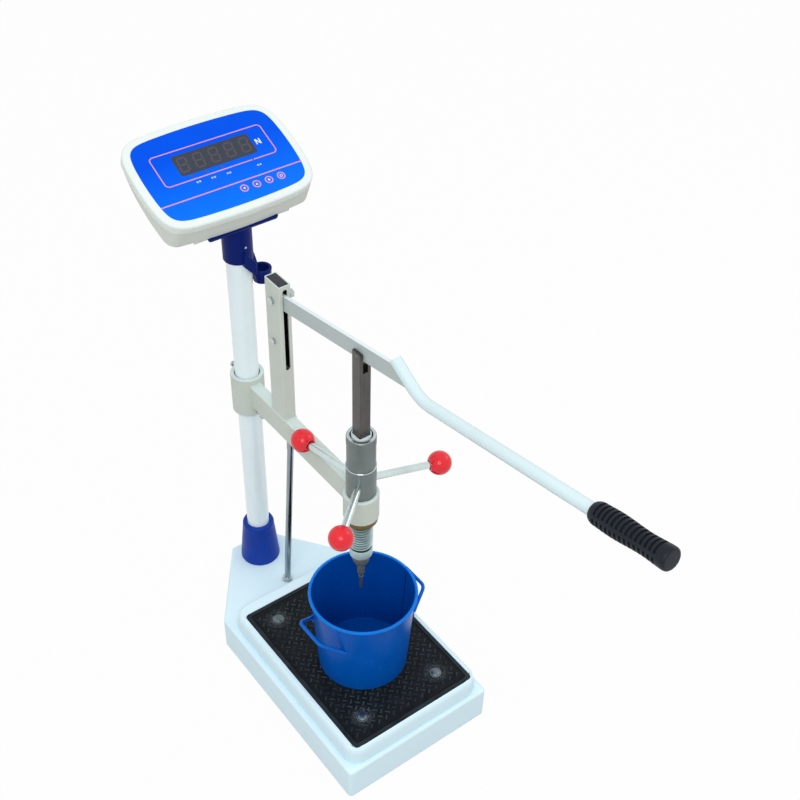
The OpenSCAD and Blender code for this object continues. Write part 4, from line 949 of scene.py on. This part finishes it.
# Column
def dress_column():
    piece("column_pipe", merged("column_tube"), "stand", column_paint, "column_paint", "column_tube")
    boot = lathed(
        [(19.1, 65), (33.2, 65), (34, 66.2), (33.8, 70), (32.2, 88), (30.2, 110), (28.0, 132), (26.9, 139),
         (27.2, 141.4), (27.1, 144.2), (25.9, 147), (23.6, 148.7), (21.2, 149), (19.6, 148.4), (19.1, 147.2)],
        64, closed=True)
    on_column = at(0, COLUMN_Y, 0)
    piece("column_boot_sleeve", moved(boot, on_column), "stand", boot_blue, "blue_plastic", "column_boot")
    back = PANEL @ at(0, -86, -45) @ Matrix.Rotation(math.atan(25 / 172), 4, "X")
    socket = lathed([(19.1, 695.5), (21.6, 695.5), (22.5, 696.4), (22.5, 790), (19.1, 790)], 72, closed=True)
    moved(socket, on_column)
    bmesh.ops.bisect_plane(
        socket, geom=socket.verts[:] + socket.edges[:] + socket.faces[:],
        plane_co=back @ Vector((0, 0, -4.6)), plane_no=back.to_3x3() @ Vector((0, 0, 1)), clear_outer=True,
    )
    bracket = rounded(plate(114, 75, 4, 4.9), 0.7, 2, sharp=60)
    moved(bracket, at(0, 38, -5), back)
    webs = []
    strap = [(-4, 716), (0, 714), (14, 697), (16, 691), (15.5, 674), (12, 673), (-4, 692)]
    gusset = [(18, 708), (21.6, 700), (25.4, 684), (26.4, 661.5), (26.4, 646), (23.6, 646), (20.6, 668),
              (18, 690)]
    for points, width, front in ((strap, 16, 26), (gusset, 22, 11)):
        web = outline(points, width)
        rounded(web, 1.6, 3, sharp=50, where=lambda edge: abs(edge.verts[0].co.z - edge.verts[1].co.z) < 0.1)
        webs.append(moved(web, turned(90, "X"), at(0, COLUMN_Y - front + width, 0)))
    ring = lathed([(9.8, 642.3), (10.4, 641.5), (12.6, 641.5), (13.4, 642.3), (14.9, 660.4), (15.3, 662.4),
                   (14.7, 663.6), (11.6, 663.6), (10.9, 662.9)], 56, closed=True)
    moved(ring, at(38, COLUMN_Y, 0))
    casting = joined(socket, bracket, *webs, ring)
    piece("column_head_casting", casting, "stand", head_navy, "navy_plastic", "column_head")
    for node, name, share in (("head_screw", "head_set_screw", 0.5),
                              ("bracket_screws", "bracket_screw_heads", 1)):
        heads = rounded(merged(node), 0.35)
        spots = [vert.co for vert in heads.verts]
        ends = [[pick(spot[k] for spot in spots) for k in range(3)] for pick in (min, max)]
        front = (Vector(ends[0]) + Vector(ends[1])) / 2
        front.y = ends[0][1]
        moved(heads, at(*-front), Matrix.Diagonal((share, 1, share, 1)), at(*front))
        piece(name, heads, "stand", bright_zinc, "bright_zinc", node)


# Lever stand
def dress_stand():
    softened("clamp_ring", "clamp_collar", "stand", cream_paint, "cream_paint", 1.0, 3)
    softened("arm_box_tube", "arm_tube", "stand", cream_paint, "cream_paint", 1.6, 3, 60)
    drop = 5
    ring = lowered(rounded(merged("head_collar"), 0.5, sharp=40), 432, drop)
    piece("head_ring", ring, "stand", cream_paint, "cream_paint", "head_collar")
    dress_upright()
    for node, name in (("pivot_bolt", "pivot_hex_bolt"), ("pivot_nut", "pivot_hex_nut"),
                       ("stop_bolt", "stop_hex_bolt"), ("stop_nut", "stop_hex_nut"),
                       ("tie_nut", "tie_hex_nut"), ("tie_washer", "tie_flat_washer")):
        softened(name, node, "stand", bright_zinc, "bright_zinc", 0.35)
    bolts = rounded(merged("clamp_bolts"), 0.35)
    head_start, further = 31, 6
    for vert in bolts.verts:
        if abs(vert.co.y - COLUMN_Y) > head_start:
            vert.co.y += further if vert.co.y > COLUMN_Y else -further
    piece("clamp_hex_bolts", bolts, "stand", bright_zinc, "bright_zinc", "clamp_bolts")
    end = lathed([(0, 0), (3.4, 0), (3.4, 9.4), (2.9, 10), (0, 10)], 32)
    hexagon = lathed([(3.4, 1.5), (7.0, 1.5), (7.2, 2.1), (7.2, 7.4), (6.7, 8), (3.4, 8)], 6, closed=True)
    nut = moved(joined(end, rounded(hexagon, 0.4)), at(15.8, UPRIGHT_Y, PIVOT_Z) @ turned(90, "Y"))
    piece("pivot_lock_nut", nut, "stand", bright_zinc, "bright_zinc")
    foot, head = Vector((4, 226, LEDGE)), Vector((4, 192, 430.5))
    axis = at(*foot) @ (head - foot).to_track_quat("Z", "Y").to_matrix().to_4x4()
    for node, name, swell in (("tie_rod", "tie_round_rod", 1.3), ("tie_sleeve", "tie_top_sleeve", 1.16)):
        rod = moved(rounded(merged(node), 0.3), axis.inverted(), Matrix.Diagonal((swell, swell, 1, 1)), axis)
        piece(name, rod, "stand", rod_zinc, "bright_zinc", node)
    nut = lowered(rounded(merged("brass_nut"), 0.7, 3, sharp=40), 426, drop)
    piece("brass_feed_nut", nut, "stand", brass, "brass", "brass_nut")
    weld_stand()


def dress_upright():
    wide, deep, bend, wall, slot = 20, 38, 2.4, 2, 4
    low, high, slot_low, slot_top = 470.5, 716.0, 566.0, 710.0
    flank, front = wide / 2 - wall, deep / 2 - wall
    corner = [(wide / 2 - bend + bend * math.sin(turn), -deep / 2 + bend - bend * math.cos(turn))
              for turn in (math.radians(15 * k) for k in range(7))]
    side = [(slot, -deep / 2)] + corner + [(x, -y) for x, y in reversed(corner)]
    skin = side + [(-x, y) for x, y in reversed(side)]
    inner = [(-slot, -front), (-flank, -front), (-flank, front), (flank, front), (flank, -front),
             (slot, -front)]
    crown = frame_strip(wide, deep, bend, wall, high - slot_top)
    rounded(crown, 0.5, sharp=60, where=above(high - slot_top - 0.1))
    upright = joined(
        moved(frame_strip(wide, deep, bend, wall, slot_low - low), at(0, 0, low)),
        moved(outline(skin + inner, slot_top - slot_low), at(0, 0, slot_low)),
        moved(crown, at(0, 0, slot_top)),
    )
    moved(upright, at(0, UPRIGHT_Y, 0))
    turns = [math.radians(10 * k) for k in range(1, 18)]
    arc = [(slot * math.cos(turn), slot * math.sin(turn)) for turn in turns]
    fills = []
    for height, turn in ((slot_top - slot, 0), (slot_low + slot, 180)):
        fill = outline([(-slot, 0), (-4.1, 4.3), (4.1, 4.3), (slot, 0)] + arc, 1.9)
        fills.append(moved(fill, turned(turn, "Z"), turned(90, "X"), at(0, UPRIGHT_Y - front - 0.06, height)))
    piece("upright_box_tube", joined(upright, *fills), "stand", cream_paint, "cream_paint", "upright_tube")
    cap = rounded(plate(16.1, 34.1, 1.2, 3.2), 0.7, 3, sharp=60, where=above(3))
    moved(cap, at(0, UPRIGHT_Y, 712.6))
    piece("upright_end_cap", cap, "stand", cap_black, "black_plastic", "upright_cap")
    # Thin black sheets on the tube's inner walls behind the slot: painted shade inside the hollow tube.
    tall, middle_z = 150, 636
    shade_sheets = [moved(plate(15.8, tall, 0, 0.1), turned(90, "X"), at(0, 218.95, middle_z))]
    for x in (-7.96, 7.86):
        flap = plate(33.6, tall, 0, 0.1)
        shade_sheets.append(moved(flap, turned(90, "X"), turned(90, "Z"), at(x, UPRIGHT_Y, middle_z)))
    piece("upright_slot_shade_sheets", joined(*shade_sheets), "stand", slot_shade_black, "black_plastic")


def weld_stand():
    welds = []
    radius, arm_top, arm_low, arm_side = 26.5, 470.5, 430.5, 10
    for axis_y, way in ((0, 1), (COLUMN_Y, -1)):
        def on_ring(x, z):
            return Vector((x, axis_y + way * (math.sqrt(radius * radius - x * x) + 0.3), z))

        loop = [on_ring(x, arm_top) for x in range(-9, 10, 3)]
        loop += [on_ring(arm_side, z) for z in range(468, 432, -5)]
        loop += [on_ring(x, arm_low) for x in range(9, -10, -3)]
        loop += [on_ring(-arm_side, z) for z in range(433, 469, 5)]
        if axis_y == 0:
            loop = [point for point in loop if point.z < 463]
        welds.append(bead(loop, 1.5, closed=axis_y != 0))
    foot = [(x, y, 470.7) for x, y in ((-10, 183), (10, 183), (10, 221), (-10, 221))]
    welds.append(bead(eased_path(foot, 2.5, closed=True), 1.5))
    piece("stand_weld_beads", joined(*welds), "stand", cream_paint, "cream_paint")


# Lever
HANDLE_Z = -22


def dress_lever():
    softened("lever_flat_bar", "lever_bar", "lever", lever_paint, "lever_paint", 0.6, sharp=50)
    piece("handle_pipe", merged("handle_tube", False), "lever", handle_paint, "handle_paint", "handle_tube")
    place = LEVER @ at(0, -633, HANDLE_Z) @ turned(90, "X")
    piece("slotted_hand_grip", moved(slotted_grip(), turned(40, "Z"), place), "lever", grip_rubber,
          "black_rubber", "hand_grip", crease=50)
    pipe_end, bar_side = 329, 3.2
    welds = []
    for side in (-1, 1):
        line = [LEVER @ Vector((side * bar_side, -pipe_end - along, HANDLE_Z + 7.6 - along * 0.35))
                for along in (k * 3.5 - 12 for k in range(8))]
        welds.append(bead(line, 1.2, closed=False))
    piece("handle_weld_beads", joined(*welds), "lever", handle_paint, "handle_paint")


def slotted_grip():
    """Turned hand grip with three rows of slots across it."""
    length, slots = 111, 14
    stations = [(0, 11.5), (7.8, 14.0), (33.3, 14.75), (75.5, 13.0), (108, 14.25)]

    def radius_at(z):
        for (z0, r0), (z1, r1) in zip(stations, stations[1:]):
            if z <= z1:
                t = (z - z0) / (z1 - z0)
                return r0 + (r1 - r0) * t * t * (3 - 2 * t)
        return stations[-1][1]

    first, step = length * 0.07, length * 0.83 / slots
    bands = [(first + (index + 0.24) * step, first + (index + 0.76) * step) for index in range(slots)]
    profile = [(8.4, 0.8), (9.0, 0.0), (10.8, 0.0), (11.6, 0.7), (12.8, 3.2), (13.7, 6.0)]
    profile += [(radius_at(z), z) for band in bands for z in band]
    profile += [(14.25, 103.5), (14.25, 107.4), (13.7, 109.5), (12.4, 110.7), (11.0, length), (0, length)]
    grip = lathed(profile, 72)

    def in_slot(face):
        heights = [vert.co.z for vert in face.verts]
        spot = face.calc_center_median()
        around = math.degrees(math.atan2(spot.y, spot.x)) % 120
        return 10 < around < 110 and any(
            abs(min(heights) - low) < 0.01 and abs(max(heights) - high) < 0.01 for low, high in bands)

    cuts = [face for face in grip.faces if in_slot(face)]
    bmesh.ops.inset_region(grip, faces=cuts, thickness=0.3, depth=-1.9, use_even_offset=True)
    return grip


# Needle, wheel and screw
def dress_plunger():
    def long_corner(edge):
        return edge.calc_length() > 8 and all(max(abs(v.co.x), abs(v.co.y)) > 8.9 for v in edge.verts)

    bar = rounded(merged("plunger_bar"), 0.6, sharp=50, where=long_corner)
    piece("plunger_square_bar", bar, "plunger", ground_steel, "ground_steel", "plunger_bar")
    softened("plunger_cross_pin", "cross_pin", "plunger", gunmetal, "bright_zinc", 0.4)
    softened("needle_chuck_body", "needle_chuck", "plunger", gunmetal, "gunmetal", 0.5)
    piece("needle_chuck_nose", merged("chuck_nose", False), "plunger", gunmetal, "gunmetal", "chuck_nose")
    softened("penetration_needle", "needle", "plunger", needle_steel, "gunmetal", 0.25)
    softened("plunger_guide_bush", "guide_bush", "carriage", bush_white, "turned_steel", 0.4, sharp=50)
    count = 96
    turns = [math.radians(360 / count * k) for k in range(count)]
    square = [9.4 / max(abs(math.cos(turn)), abs(math.sin(turn))) for turn in turns]
    levels = [(square, 559.5), (square, 576.1)]
    for reach, z in ((13.35, 576.3), (13.5, 577.2), (14.05, 577.2), (14.35, 576.7), (14.35, 559.5)):
        levels.append(([reach] * count, z))
    rings = [[(r * math.cos(turn), r * math.sin(turn), z) for r, turn in zip(reach, turns)]
             for reach, z in levels]
    piece("guide_bush_lip", skinned(rings, True), "carriage", bush_white, "turned_steel")


def dress_wheel():
    softened("wheel_hub_sleeve", "wheel_hub", "handwheel", turned_steel, "turned_steel", 0.5, sharp=40)
    collar = rounded(merged("sleeve_cap"), 0.3, sharp=25)
    lip_z, raised, bore_r, wider_r = 564, 5, 16, 16.6
    for vert in collar.verts:
        if vert.co.z > lip_z:
            vert.co.z += raised
            if vert.co.xy.length < bore_r:
                vert.co.xy *= wider_r / vert.co.xy.length
    piece("sleeve_top_ring", collar, "handwheel", turned_steel, "bright_zinc", "sleeve_cap")
    # Thin ring of bright zinc over the sleeve's top face: painted highlight where the top catches the light.
    face = [(16.4, 574.3), (20.5, 574.3), (20.9, 574.6), (20.6, 575.2), (16.8, 575.2), (16.4, 574.9)]
    piece("sleeve_top_highlight_face", lathed(face, 72, closed=True), "handwheel", bright_zinc, "bright_zinc")
    # The hub's step as a ring in bright zinc, lighter than the hub: painted highlight on the step.
    step = [(20.9, 516.9), (22.1, 516.9), (22.4, 517.3), (22.4, 518.4), (22.0, 518.9), (20.9, 519.1)]
    piece("hub_step_highlight_ring", lathed(step, 72, closed=True), "handwheel", bright_zinc, "bright_zinc")
    end = [(10.05, 334.7), (15.2, 334.7), (17.3, 336.8), (17.5, 351.6), (16.9, 352.4), (10.05, 352.4)]
    screw = joined(feed_thread(353, 5.0, 22), lathed(end, 64, closed=True))
    piece("feed_thread", screw, "handwheel", thread_steel, "bright_zinc", "feed_screw", crease=38)
    # A dark core fills the valleys of the open thread skin: painted shade between the teeth.
    valley_shade_core = lathed([(10.1, 352.2), (16.2, 352.2), (16.2, 480), (10.1, 480)], 64, closed=True)
    piece("thread_valley_shade_core", valley_shade_core, "handwheel", valley_shade_steel, "bright_zinc")
    size, reach, steps = 18.0, 117.8, 26
    turns = [math.radians(148 * (steps - step) / steps) for step in range(steps + 1)]
    ball = [(size * math.sin(turn), size * math.cos(turn)) for turn in turns]
    seat_r, seat_z = ball[0]
    seat = [(5.5, seat_z + 3.2), (7.0, seat_z + 3.2), (7.0, seat_z + 0.6), (7.5, seat_z + 0.1),
            (seat_r - 0.8, seat_z + 0.02)]
    knobs, rods = [], []
    for angle in SPOKE_ANGLES:
        place = at(0, 0, SPOKE_Z) @ turned(angle, "Z") @ turned(90, "Y")
        knobs.append(moved(lathed(seat + ball, 56), place @ at(0, 0, reach)))
        rods.append(moved(lathed([(0, 17), (5.5, 17), (5.5, 106), (0, 106)], 48), place))
    piece("red_ball_knobs", joined(*knobs), "handwheel", ball_red, "red_plastic", "ball_knobs")
    piece("wheel_spokes", joined(*rods), "handwheel", spoke_zinc, "bright_zinc", "spokes")


def feed_thread(low, pitch, turns, steps=48):
    """Open skin of a screw thread, wound upwards."""
    thread = bmesh.new()
    tooth = [(15.6, 0.0), (15.6, 1.1), (17.8, 2.0), (18.1, 2.2), (18.1, 2.8), (17.8, 3.0), (15.6, 3.9),
             (15.6, pitch)]
    points = [thread.verts.new((radius, 0, low + height)) for radius, height in tooth]
    edges = [thread.edges.new(pair) for pair in zip(points, points[1:])]
    bmesh.ops.spin(thread, geom=points + edges, cent=(0, 0, 0), axis=(0, 0, 1), dvec=(0, 0, pitch / steps),
                   angle=2 * math.pi * turns, steps=steps * turns, use_merge=False)
    bmesh.ops.remove_doubles(thread, verts=thread.verts, dist=0.01)
    bmesh.ops.recalc_face_normals(thread, faces=thread.faces)
    outward = sum(face.normal.xy.dot(face.calc_center_median().xy) for face in thread.faces)
    if outward < 0:
        bmesh.ops.reverse_faces(thread, faces=thread.faces)
    return thread


# Mould
def dress_mould():
    low, top, height, wall, floor = 70.5, 80.0, 154.0, 1.2, 4.0

    def outer(z):
        return low + wall + (top - low) * z / height

    shell = lathed(
        [(0, 0), (outer(0) - 1.2, 0), (outer(0.8), 0.5), (outer(2.0), 2.0)]
        + [(outer(z), z) for z in range(20, 150, 18)]
        + [(top + wall, height - 0.2), (top + wall - 0.3, height), (top + 0.2, height), (top, height - 0.3)]
        + [(outer(z) - wall, z) for z in range(146, 10, -18)]
        + [(low + 0.2, floor + 4), (low - 1.0, floor + 1.2), (low - 3.5, floor), (0, floor)], 96)
    piece("mould_pot", moved(shell, MOULD), "mould", mould_blue, "blue_enamel", "mould_shell")
    bead_r, ring_r = 2.4, top + 0.4 + 2.4
    section = []
    for step in range(13):
        turn = math.radians(-125 + 270 * step / 12)
        section.append((ring_r + bead_r * math.cos(turn), height - bead_r / 2 + bead_r * math.sin(turn)))
    rim = lathed(section, 96, closed=True)
    piece("mould_rolled_rim", moved(rim, MOULD), "mould", rim_lit_blue, "blue_enamel", "mould_rim")
    handles, pads = [], []
    reach, half, up, weld_up, angle = 100.0, 26.5, 123.0, 97.5, math.radians(32)
    for turn in (0, 180):
        spin = MOULD @ turned(turn, "Z")
        near = outer(weld_up) + 2.2
        ends = [Vector((near * math.cos(angle), side * near * math.sin(angle), weld_up)) for side in (-1, 1)]
        path = eased_path([ends[0], (reach, -half, up), (reach, half, up), ends[1]], 8)
        handles.append(moved(rod_along(path, 2.9, sides=5), spin))
        for side, end in zip((-1, 1), ends):
            along = Vector((-math.sin(angle), side * math.cos(angle), 0))
            line = [end * 0.985 + along * k for k in (-6, -3, 0, 3, 6)]
            pads.append(moved(bead(line, 1.9, closed=False), spin))
    piece("mould_wire_handles", joined(*handles), "mould", handle_lit_blue, "blue_enamel", "mould_handles")
    seam_turn = math.radians(-4)

    def up_the_side(offset, heights):
        out = Vector((math.cos(seam_turn), math.sin(seam_turn), 0))
        return [out * (outer(z) + offset) + Vector((0, 0, z)) for z in heights]

    # The seam bead on the inner wall is real, but its dark navy colour is a painted shadow along the seam's
    # overlap.
    seam = bead(up_the_side(-wall - 0.05, range(8, 150, 3)), 0.6, closed=False)
    piece("mould_seam_shadow_line", moved(seam, MOULD), "mould", head_navy, "blue_enamel")
    pads.append(moved(bead(up_the_side(0.05, range(4, 148, 3)), 0.6, closed=False), MOULD))
    piece("mould_weld_beads", joined(*pads), "mould", handle_lit_blue, "blue_enamel")


# Indicator
def segment_bar(start, end, width):
    """One bar of a display figure with pointed ends."""
    a, b = Vector(start), Vector(end)
    along = (b - a).normalized()
    across = Vector((-along.y, along.x)) * width / 2
    tip = along * width / 2
    points = [a, a + tip + across, b - tip + across, b, b - tip - across, a + tip - across]
    return outline([(p.x, p.y) for p in points], 0.04)


def dress_indicator():
    panel_back = (MACHINE @ PANEL).inverted() @ MACHINE
    front = moved(merged("indicator_front", False), panel_back)

    def on_rim(spot):
        return abs(spot.z) < 0.01 and max(abs(spot.x) / 127, abs(spot.y) / 86) > 0.92

    rim = [vert.co.to_2d() for vert in front.verts if on_rim(vert.co)]
    front.free()
    rim = evened(sorted(rim, key=lambda spot: math.atan2(spot.y, spot.x)), 160, 18)
    inward = []
    for before, after in zip(rim[-1:] + rim[:-1], rim[1:] + rim[:1]):
        inward.append(Vector((before.y - after.y, after.x - before.x)).normalized())

    def rings(steps):
        return [[(*(spot + way * inset), height) for spot, way in zip(rim, inward)]
                for inset, height in steps]

    soft = 3.6
    steps = [(9, -3), (9, -14), (1.0, -14), (0.5, -13.5), (0.5, -11.2), (1.9, -10.8), (1.9, -9.4), (0, -9)]
    for turn in (math.radians(15 * k) for k in range(7)):
        steps.append((soft - soft * math.cos(turn), -soft + soft * math.sin(turn)))
    steps += [(11.9, 0), (12.1, -0.3)]
    bezel = moved(skinned(rings(steps)), PANEL)
    piece("indicator_bezel", bezel, "stand", bezel_plastic, "housing_plastic", "indicator_front")
    behind = 0.972
    back = moved(merged("indicator_back", False), panel_back, Matrix.Diagonal((behind, behind, 1, 1)), PANEL)
    piece("indicator_housing", back, "stand", housing_plastic, "housing_plastic", "indicator_back")
    film = moved(skinned(rings([(12.0, -0.7), (12.0, -0.06)])), PANEL)
    piece("panel_film_sheet", film, "stand", panel_blue, "panel_film", "panel_overlay")
    lens = rounded(plate(123, 36, 3.6, 0.3), 0.12, sharp=60, where=above(0.2))
    moved(lens, at(2.0, 16.2, -0.2), PANEL)
    piece("display_lens", lens, "stand", window_smoke, "smoked_window", "display_window")
    kept("display_board", board_green)
    print_panel()
    for index, letter in enumerate("abcd"):
        body, name = f"key_{index + 1}", f"panel_key_{letter}"
        place = PANEL @ at(11 + 20.2 * index, -51, 0)
        cap = lathed([(0, 0.5), (5.9, 0.5), (6.2, 0.3), (6.2, -3.5), (0, -3.5)], 48)
        piece(f"{name}_cap", moved(cap, place), body, key_blue, "key_plastic", f"key_{letter}")
        ring = lathed([(4.55, 0.47), (4.55, 0.6), (6.15, 0.6), (6.25, 0.47)], 48, closed=True)
        piece(f"{name}_ring", moved(ring, place), body, pink_print, "key_plastic")
        mark = moved(key_mark(index), place @ at(0, 0, 0.5))
        piece(f"{name}_mark", mark, body, white_print, "key_plastic")


def print_panel():
    """Lines, lamps, marks and figures on the panel."""
    strip = moved(frame_strip(180, 55, 7, 1.6, 0.05), at(0.4, 15.5, 0))
    rule = moved(plate(226.5, 1.8, 0, 0.05), at(0.5, -38.7, 0))
    piece("panel_pink_lines", moved(joined(strip, rule), PANEL), "stand", pink_print, "panel_film")
    dots, marks = [], []
    for x, y in ((-46, -3), (-23, -4), (1, -5), (49, -8)):
        dot = lathed([(0, 0.35), (0.9, 0.3), (1.5, 0.12), (1.7, -0.02), (0, -0.02)], 24)
        dots.append(moved(dot, at(x, y - 2.2, 0)))
        for column, row in ((-2, -0.75), (-2, 0.75), (2, -0.75), (2, 0.75)):
            marks.append(moved(plate(2.9, 0.8, 0.2, 0.04, 2), at(x + 3.5 + column, y - 14.4 + row, 0)))
    piece("panel_lamps", moved(joined(*dots), PANEL), "stand", lamp_brown, "panel_film")
    stroke, tall, wide = 1.8, 9.4, 8.0
    slant = stroke * 1.2
    letter = [moved(plate(stroke, tall, 0, 0.04), at(side * (wide - stroke) / 2, 0, 0)) for side in (-1, 1)]
    letter.append(outline([(-wide / 2, tall / 2), (-wide / 2 + slant, tall / 2), (wide / 2, -tall / 2),
                           (wide / 2 - slant, -tall / 2)], 0.045))
    marks.append(moved(joined(*letter), at(72.5, 15, 0)))
    piece("panel_white_marks", moved(joined(*marks), PANEL), "stand", white_print, "panel_film")
    lean = Matrix(((1, 0.13, 0, 0), (0, 1, 0, 0), (0, 0, 1, 0), (0, 0, 0, 1)))
    half_w, half_h, gap = 6.3, 11.8, 0.5
    level = [((gap - half_w, y), (half_w - gap, y)) for y in (half_h, 0, -half_h)]
    upright = [((x, y + gap), (x, y + half_h - gap)) for y in (0, -half_h) for x in (-half_w, half_w)]
    figures = []
    for index in range(5):
        figure = joined(*[segment_bar(start, end, 2.3) for start, end in level + upright])
        figures.append(moved(figure, lean, at((index - 2) * 24.8 + 1.6, 16.2, 0.09)))
    piece("display_figures", moved(joined(*figures), PANEL), "stand", digit_grey, "smoked_window")


def key_mark(index):
    """Small plain sign on a key."""
    if index == 0:
        return outline([(-2.2, 0), (1.4, 2.2), (1.4, -2.2)], 0.05)
    if index == 1:
        return outline([(-2.2, -1.5), (2.2, -1.5), (0, 2.1)], 0.05)
    if index == 2:
        return joined(plate(4.4, 1.1, 0.2, 0.05, 2), plate(1.1, 4.4, 0.2, 0.055, 2))
    return frame_strip(4.2, 4.2, 1.0, 0.9, 0.05)


dress_base()
dress_mat()
dress_column()
dress_stand()
dress_lever()
dress_plunger()
dress_wheel()
dress_mould()
dress_indicator()


# Floor, light and camera
def shown_rays(tree):
    """Value that is 1 for the rays of the camera, of mirror surfaces and of clear ones."""
    ray = add(tree, "LightPath", (-1, 3))
    seen = add(tree, "Math", (0, 3), operation="MAXIMUM")
    shown = add(tree, "Math", (1, 3), operation="MAXIMUM")
    wire_up(
        tree,
        (ray, "Is Camera Ray", seen, 0),
        (ray, "Is Glossy Ray", seen, 1),
        (ray, "Is Transmission Ray", shown, 0),
        (seen, 0, shown, 1),
    )
    return shown


def lay_floor():
    sheet = bmesh.new()
    bmesh.ops.create_circle(sheet, cap_ends=True, radius=30, segments=64)
    mesh = bpy.data.meshes.new("studio_floor")
    sheet.to_mesh(mesh)
    sheet.free()
    finish = bpy.data.materials.new("studio_white")
    finish.use_nodes = True
    tree = finish.node_tree
    tree.nodes.clear()
    end = add(tree, "OutputMaterial", (4, 0))
    matt = add(tree, "BsdfDiffuse", (1, 0), {"Color": (0.56, 0.56, 0.56, 1)})
    glow = add(tree, "Emission", (1, 1), {"Color": (1, 1, 1, 1), "Strength": 1.0})
    share = add(tree, "Math", (2, 2), {1: 0.97}, operation="MULTIPLY")
    both = add(tree, "MixShader", (3, 0))
    wire_up(
        tree,
        (shown_rays(tree), 0, share, 0),
        (share, 0, both, 0),
        (matt, 0, both, 1),
        (glow, 0, both, 2),
        (both, 0, end, 0),
    )
    mesh.materials.append(finish)
    floor = bpy.data.objects.new("studio_floor", mesh)
    bpy.context.scene.collection.objects.link(floor)


def light_studio():
    scene = bpy.context.scene
    world = bpy.data.worlds.new("studio_light")
    scene.world = world
    world.use_nodes = True
    tree = world.node_tree
    tree.nodes.clear()
    end = add(tree, "OutputWorld", (5, 0))
    sky = add(tree, "Background", (4, 0), {"Strength": 1.0})
    far = add(tree, "Background", (4, 2), {"Color": (1, 1, 1, 1), "Strength": 1.0})
    pick = add(tree, "MixShader", (5, 1))
    way = add(tree, "TexCoord", (-3, 0))
    parts = add(tree, "SeparateXYZ", (-2, 0))
    rise = span(tree, (-1, 0), -0.1, 1.0)
    ramp = add(tree, "ValToRGB", (0, 0))
    steps = [(0.0, 0.4), (0.2, 0.42), (0.42, 0.5), (0.62, 0.9), (0.82, 1.1), (1.0, 1.1)]
    ramp.color_ramp.elements[0].position = steps[0][0]
    ramp.color_ramp.elements[1].position = steps[-1][0]
    for place, level in steps[1:-1]:
        ramp.color_ramp.elements.new(place)
    for element, (place, level) in zip(ramp.color_ramp.elements, steps):
        element.color = (level, level * 1.01, level * 1.02, 1)
    turn = add(tree, "VectorMath", (-1, 2), {1: (-0.75, -0.55, 0.0)}, operation="DOT_PRODUCT")
    side = span(tree, (0, 2), -1.0, 1.0, 0.8, 1.16)
    tint = add(tree, "VectorMath", (2, 0), operation="SCALE")
    wire_up(
        tree,
        (way, "Generated", parts, 0),
        (way, "Generated", turn, 0),
        (parts, "Z", rise, "Value"),
        (rise, "Result", ramp, "Fac"),
        (turn, "Value", side, "Value"),
        (ramp, "Color", tint, 0),
        (side, "Result", tint, "Scale"),
        (tint, 0, sky, "Color"),
        (shown_rays(tree), 0, pick, 0),
        (sky, 0, pick, 1),
        (far, 0, pick, 2),
        (pick, 0, end, "Surface"),
    )
    for name, place, size, power in (("key_panel", (-1.3, -1.5, 2.3), 1.3, 24),
                                     ("side_panel", (1.9, -0.4, 1.5), 1.0, 5)):
        lamp = bpy.data.lights.new(name, "AREA")
        lamp.size = size
        lamp.energy = power
        holder = bpy.data.objects.new(name, lamp)
        holder.location = place
        holder.rotation_euler = (Vector((0, 0, 0.4)) - Vector(place)).to_track_quat("-Z", "Y").to_euler()
        scene.collection.objects.link(holder)
    scene.view_settings.view_transform = "Standard"


def set_camera():
    azimuth, elevation, roll = math.radians(-38.09), math.radians(41.47), 0.030076
    out = math.cos(elevation)
    back = Vector((math.sin(azimuth) * out, -math.cos(azimuth) * out, math.sin(elevation)))
    right = Vector((0, 0, 1)).cross(back).normalized()
    up = back.cross(right)
    c, s = math.cos(roll), math.sin(roll)
    turned_right, turned_up = right * c + up * s, up * c - right * s
    place = MACHINE @ Vector((-738, -1026.3, 1715.6))
    view = bpy.data.cameras.new("photo_camera")
    view.lens = 55.74
    view.sensor_width = 36
    view.shift_x = 0.0003
    view.shift_y = 0.0274
    view.clip_start = 0.05
    view.clip_end = 100
    holder = bpy.data.objects.new("photo_camera", view)
    rows = [[turned_right[i], turned_up[i], back[i], place[i]] for i in range(3)] + [[0, 0, 0, 1]]
    holder.matrix_world = Matrix(rows)
    bpy.context.scene.collection.objects.link(holder)
    bpy.context.scene.camera = holder


lay_floor()
light_studio()
set_camera()

bpy.context.view_layer.update()
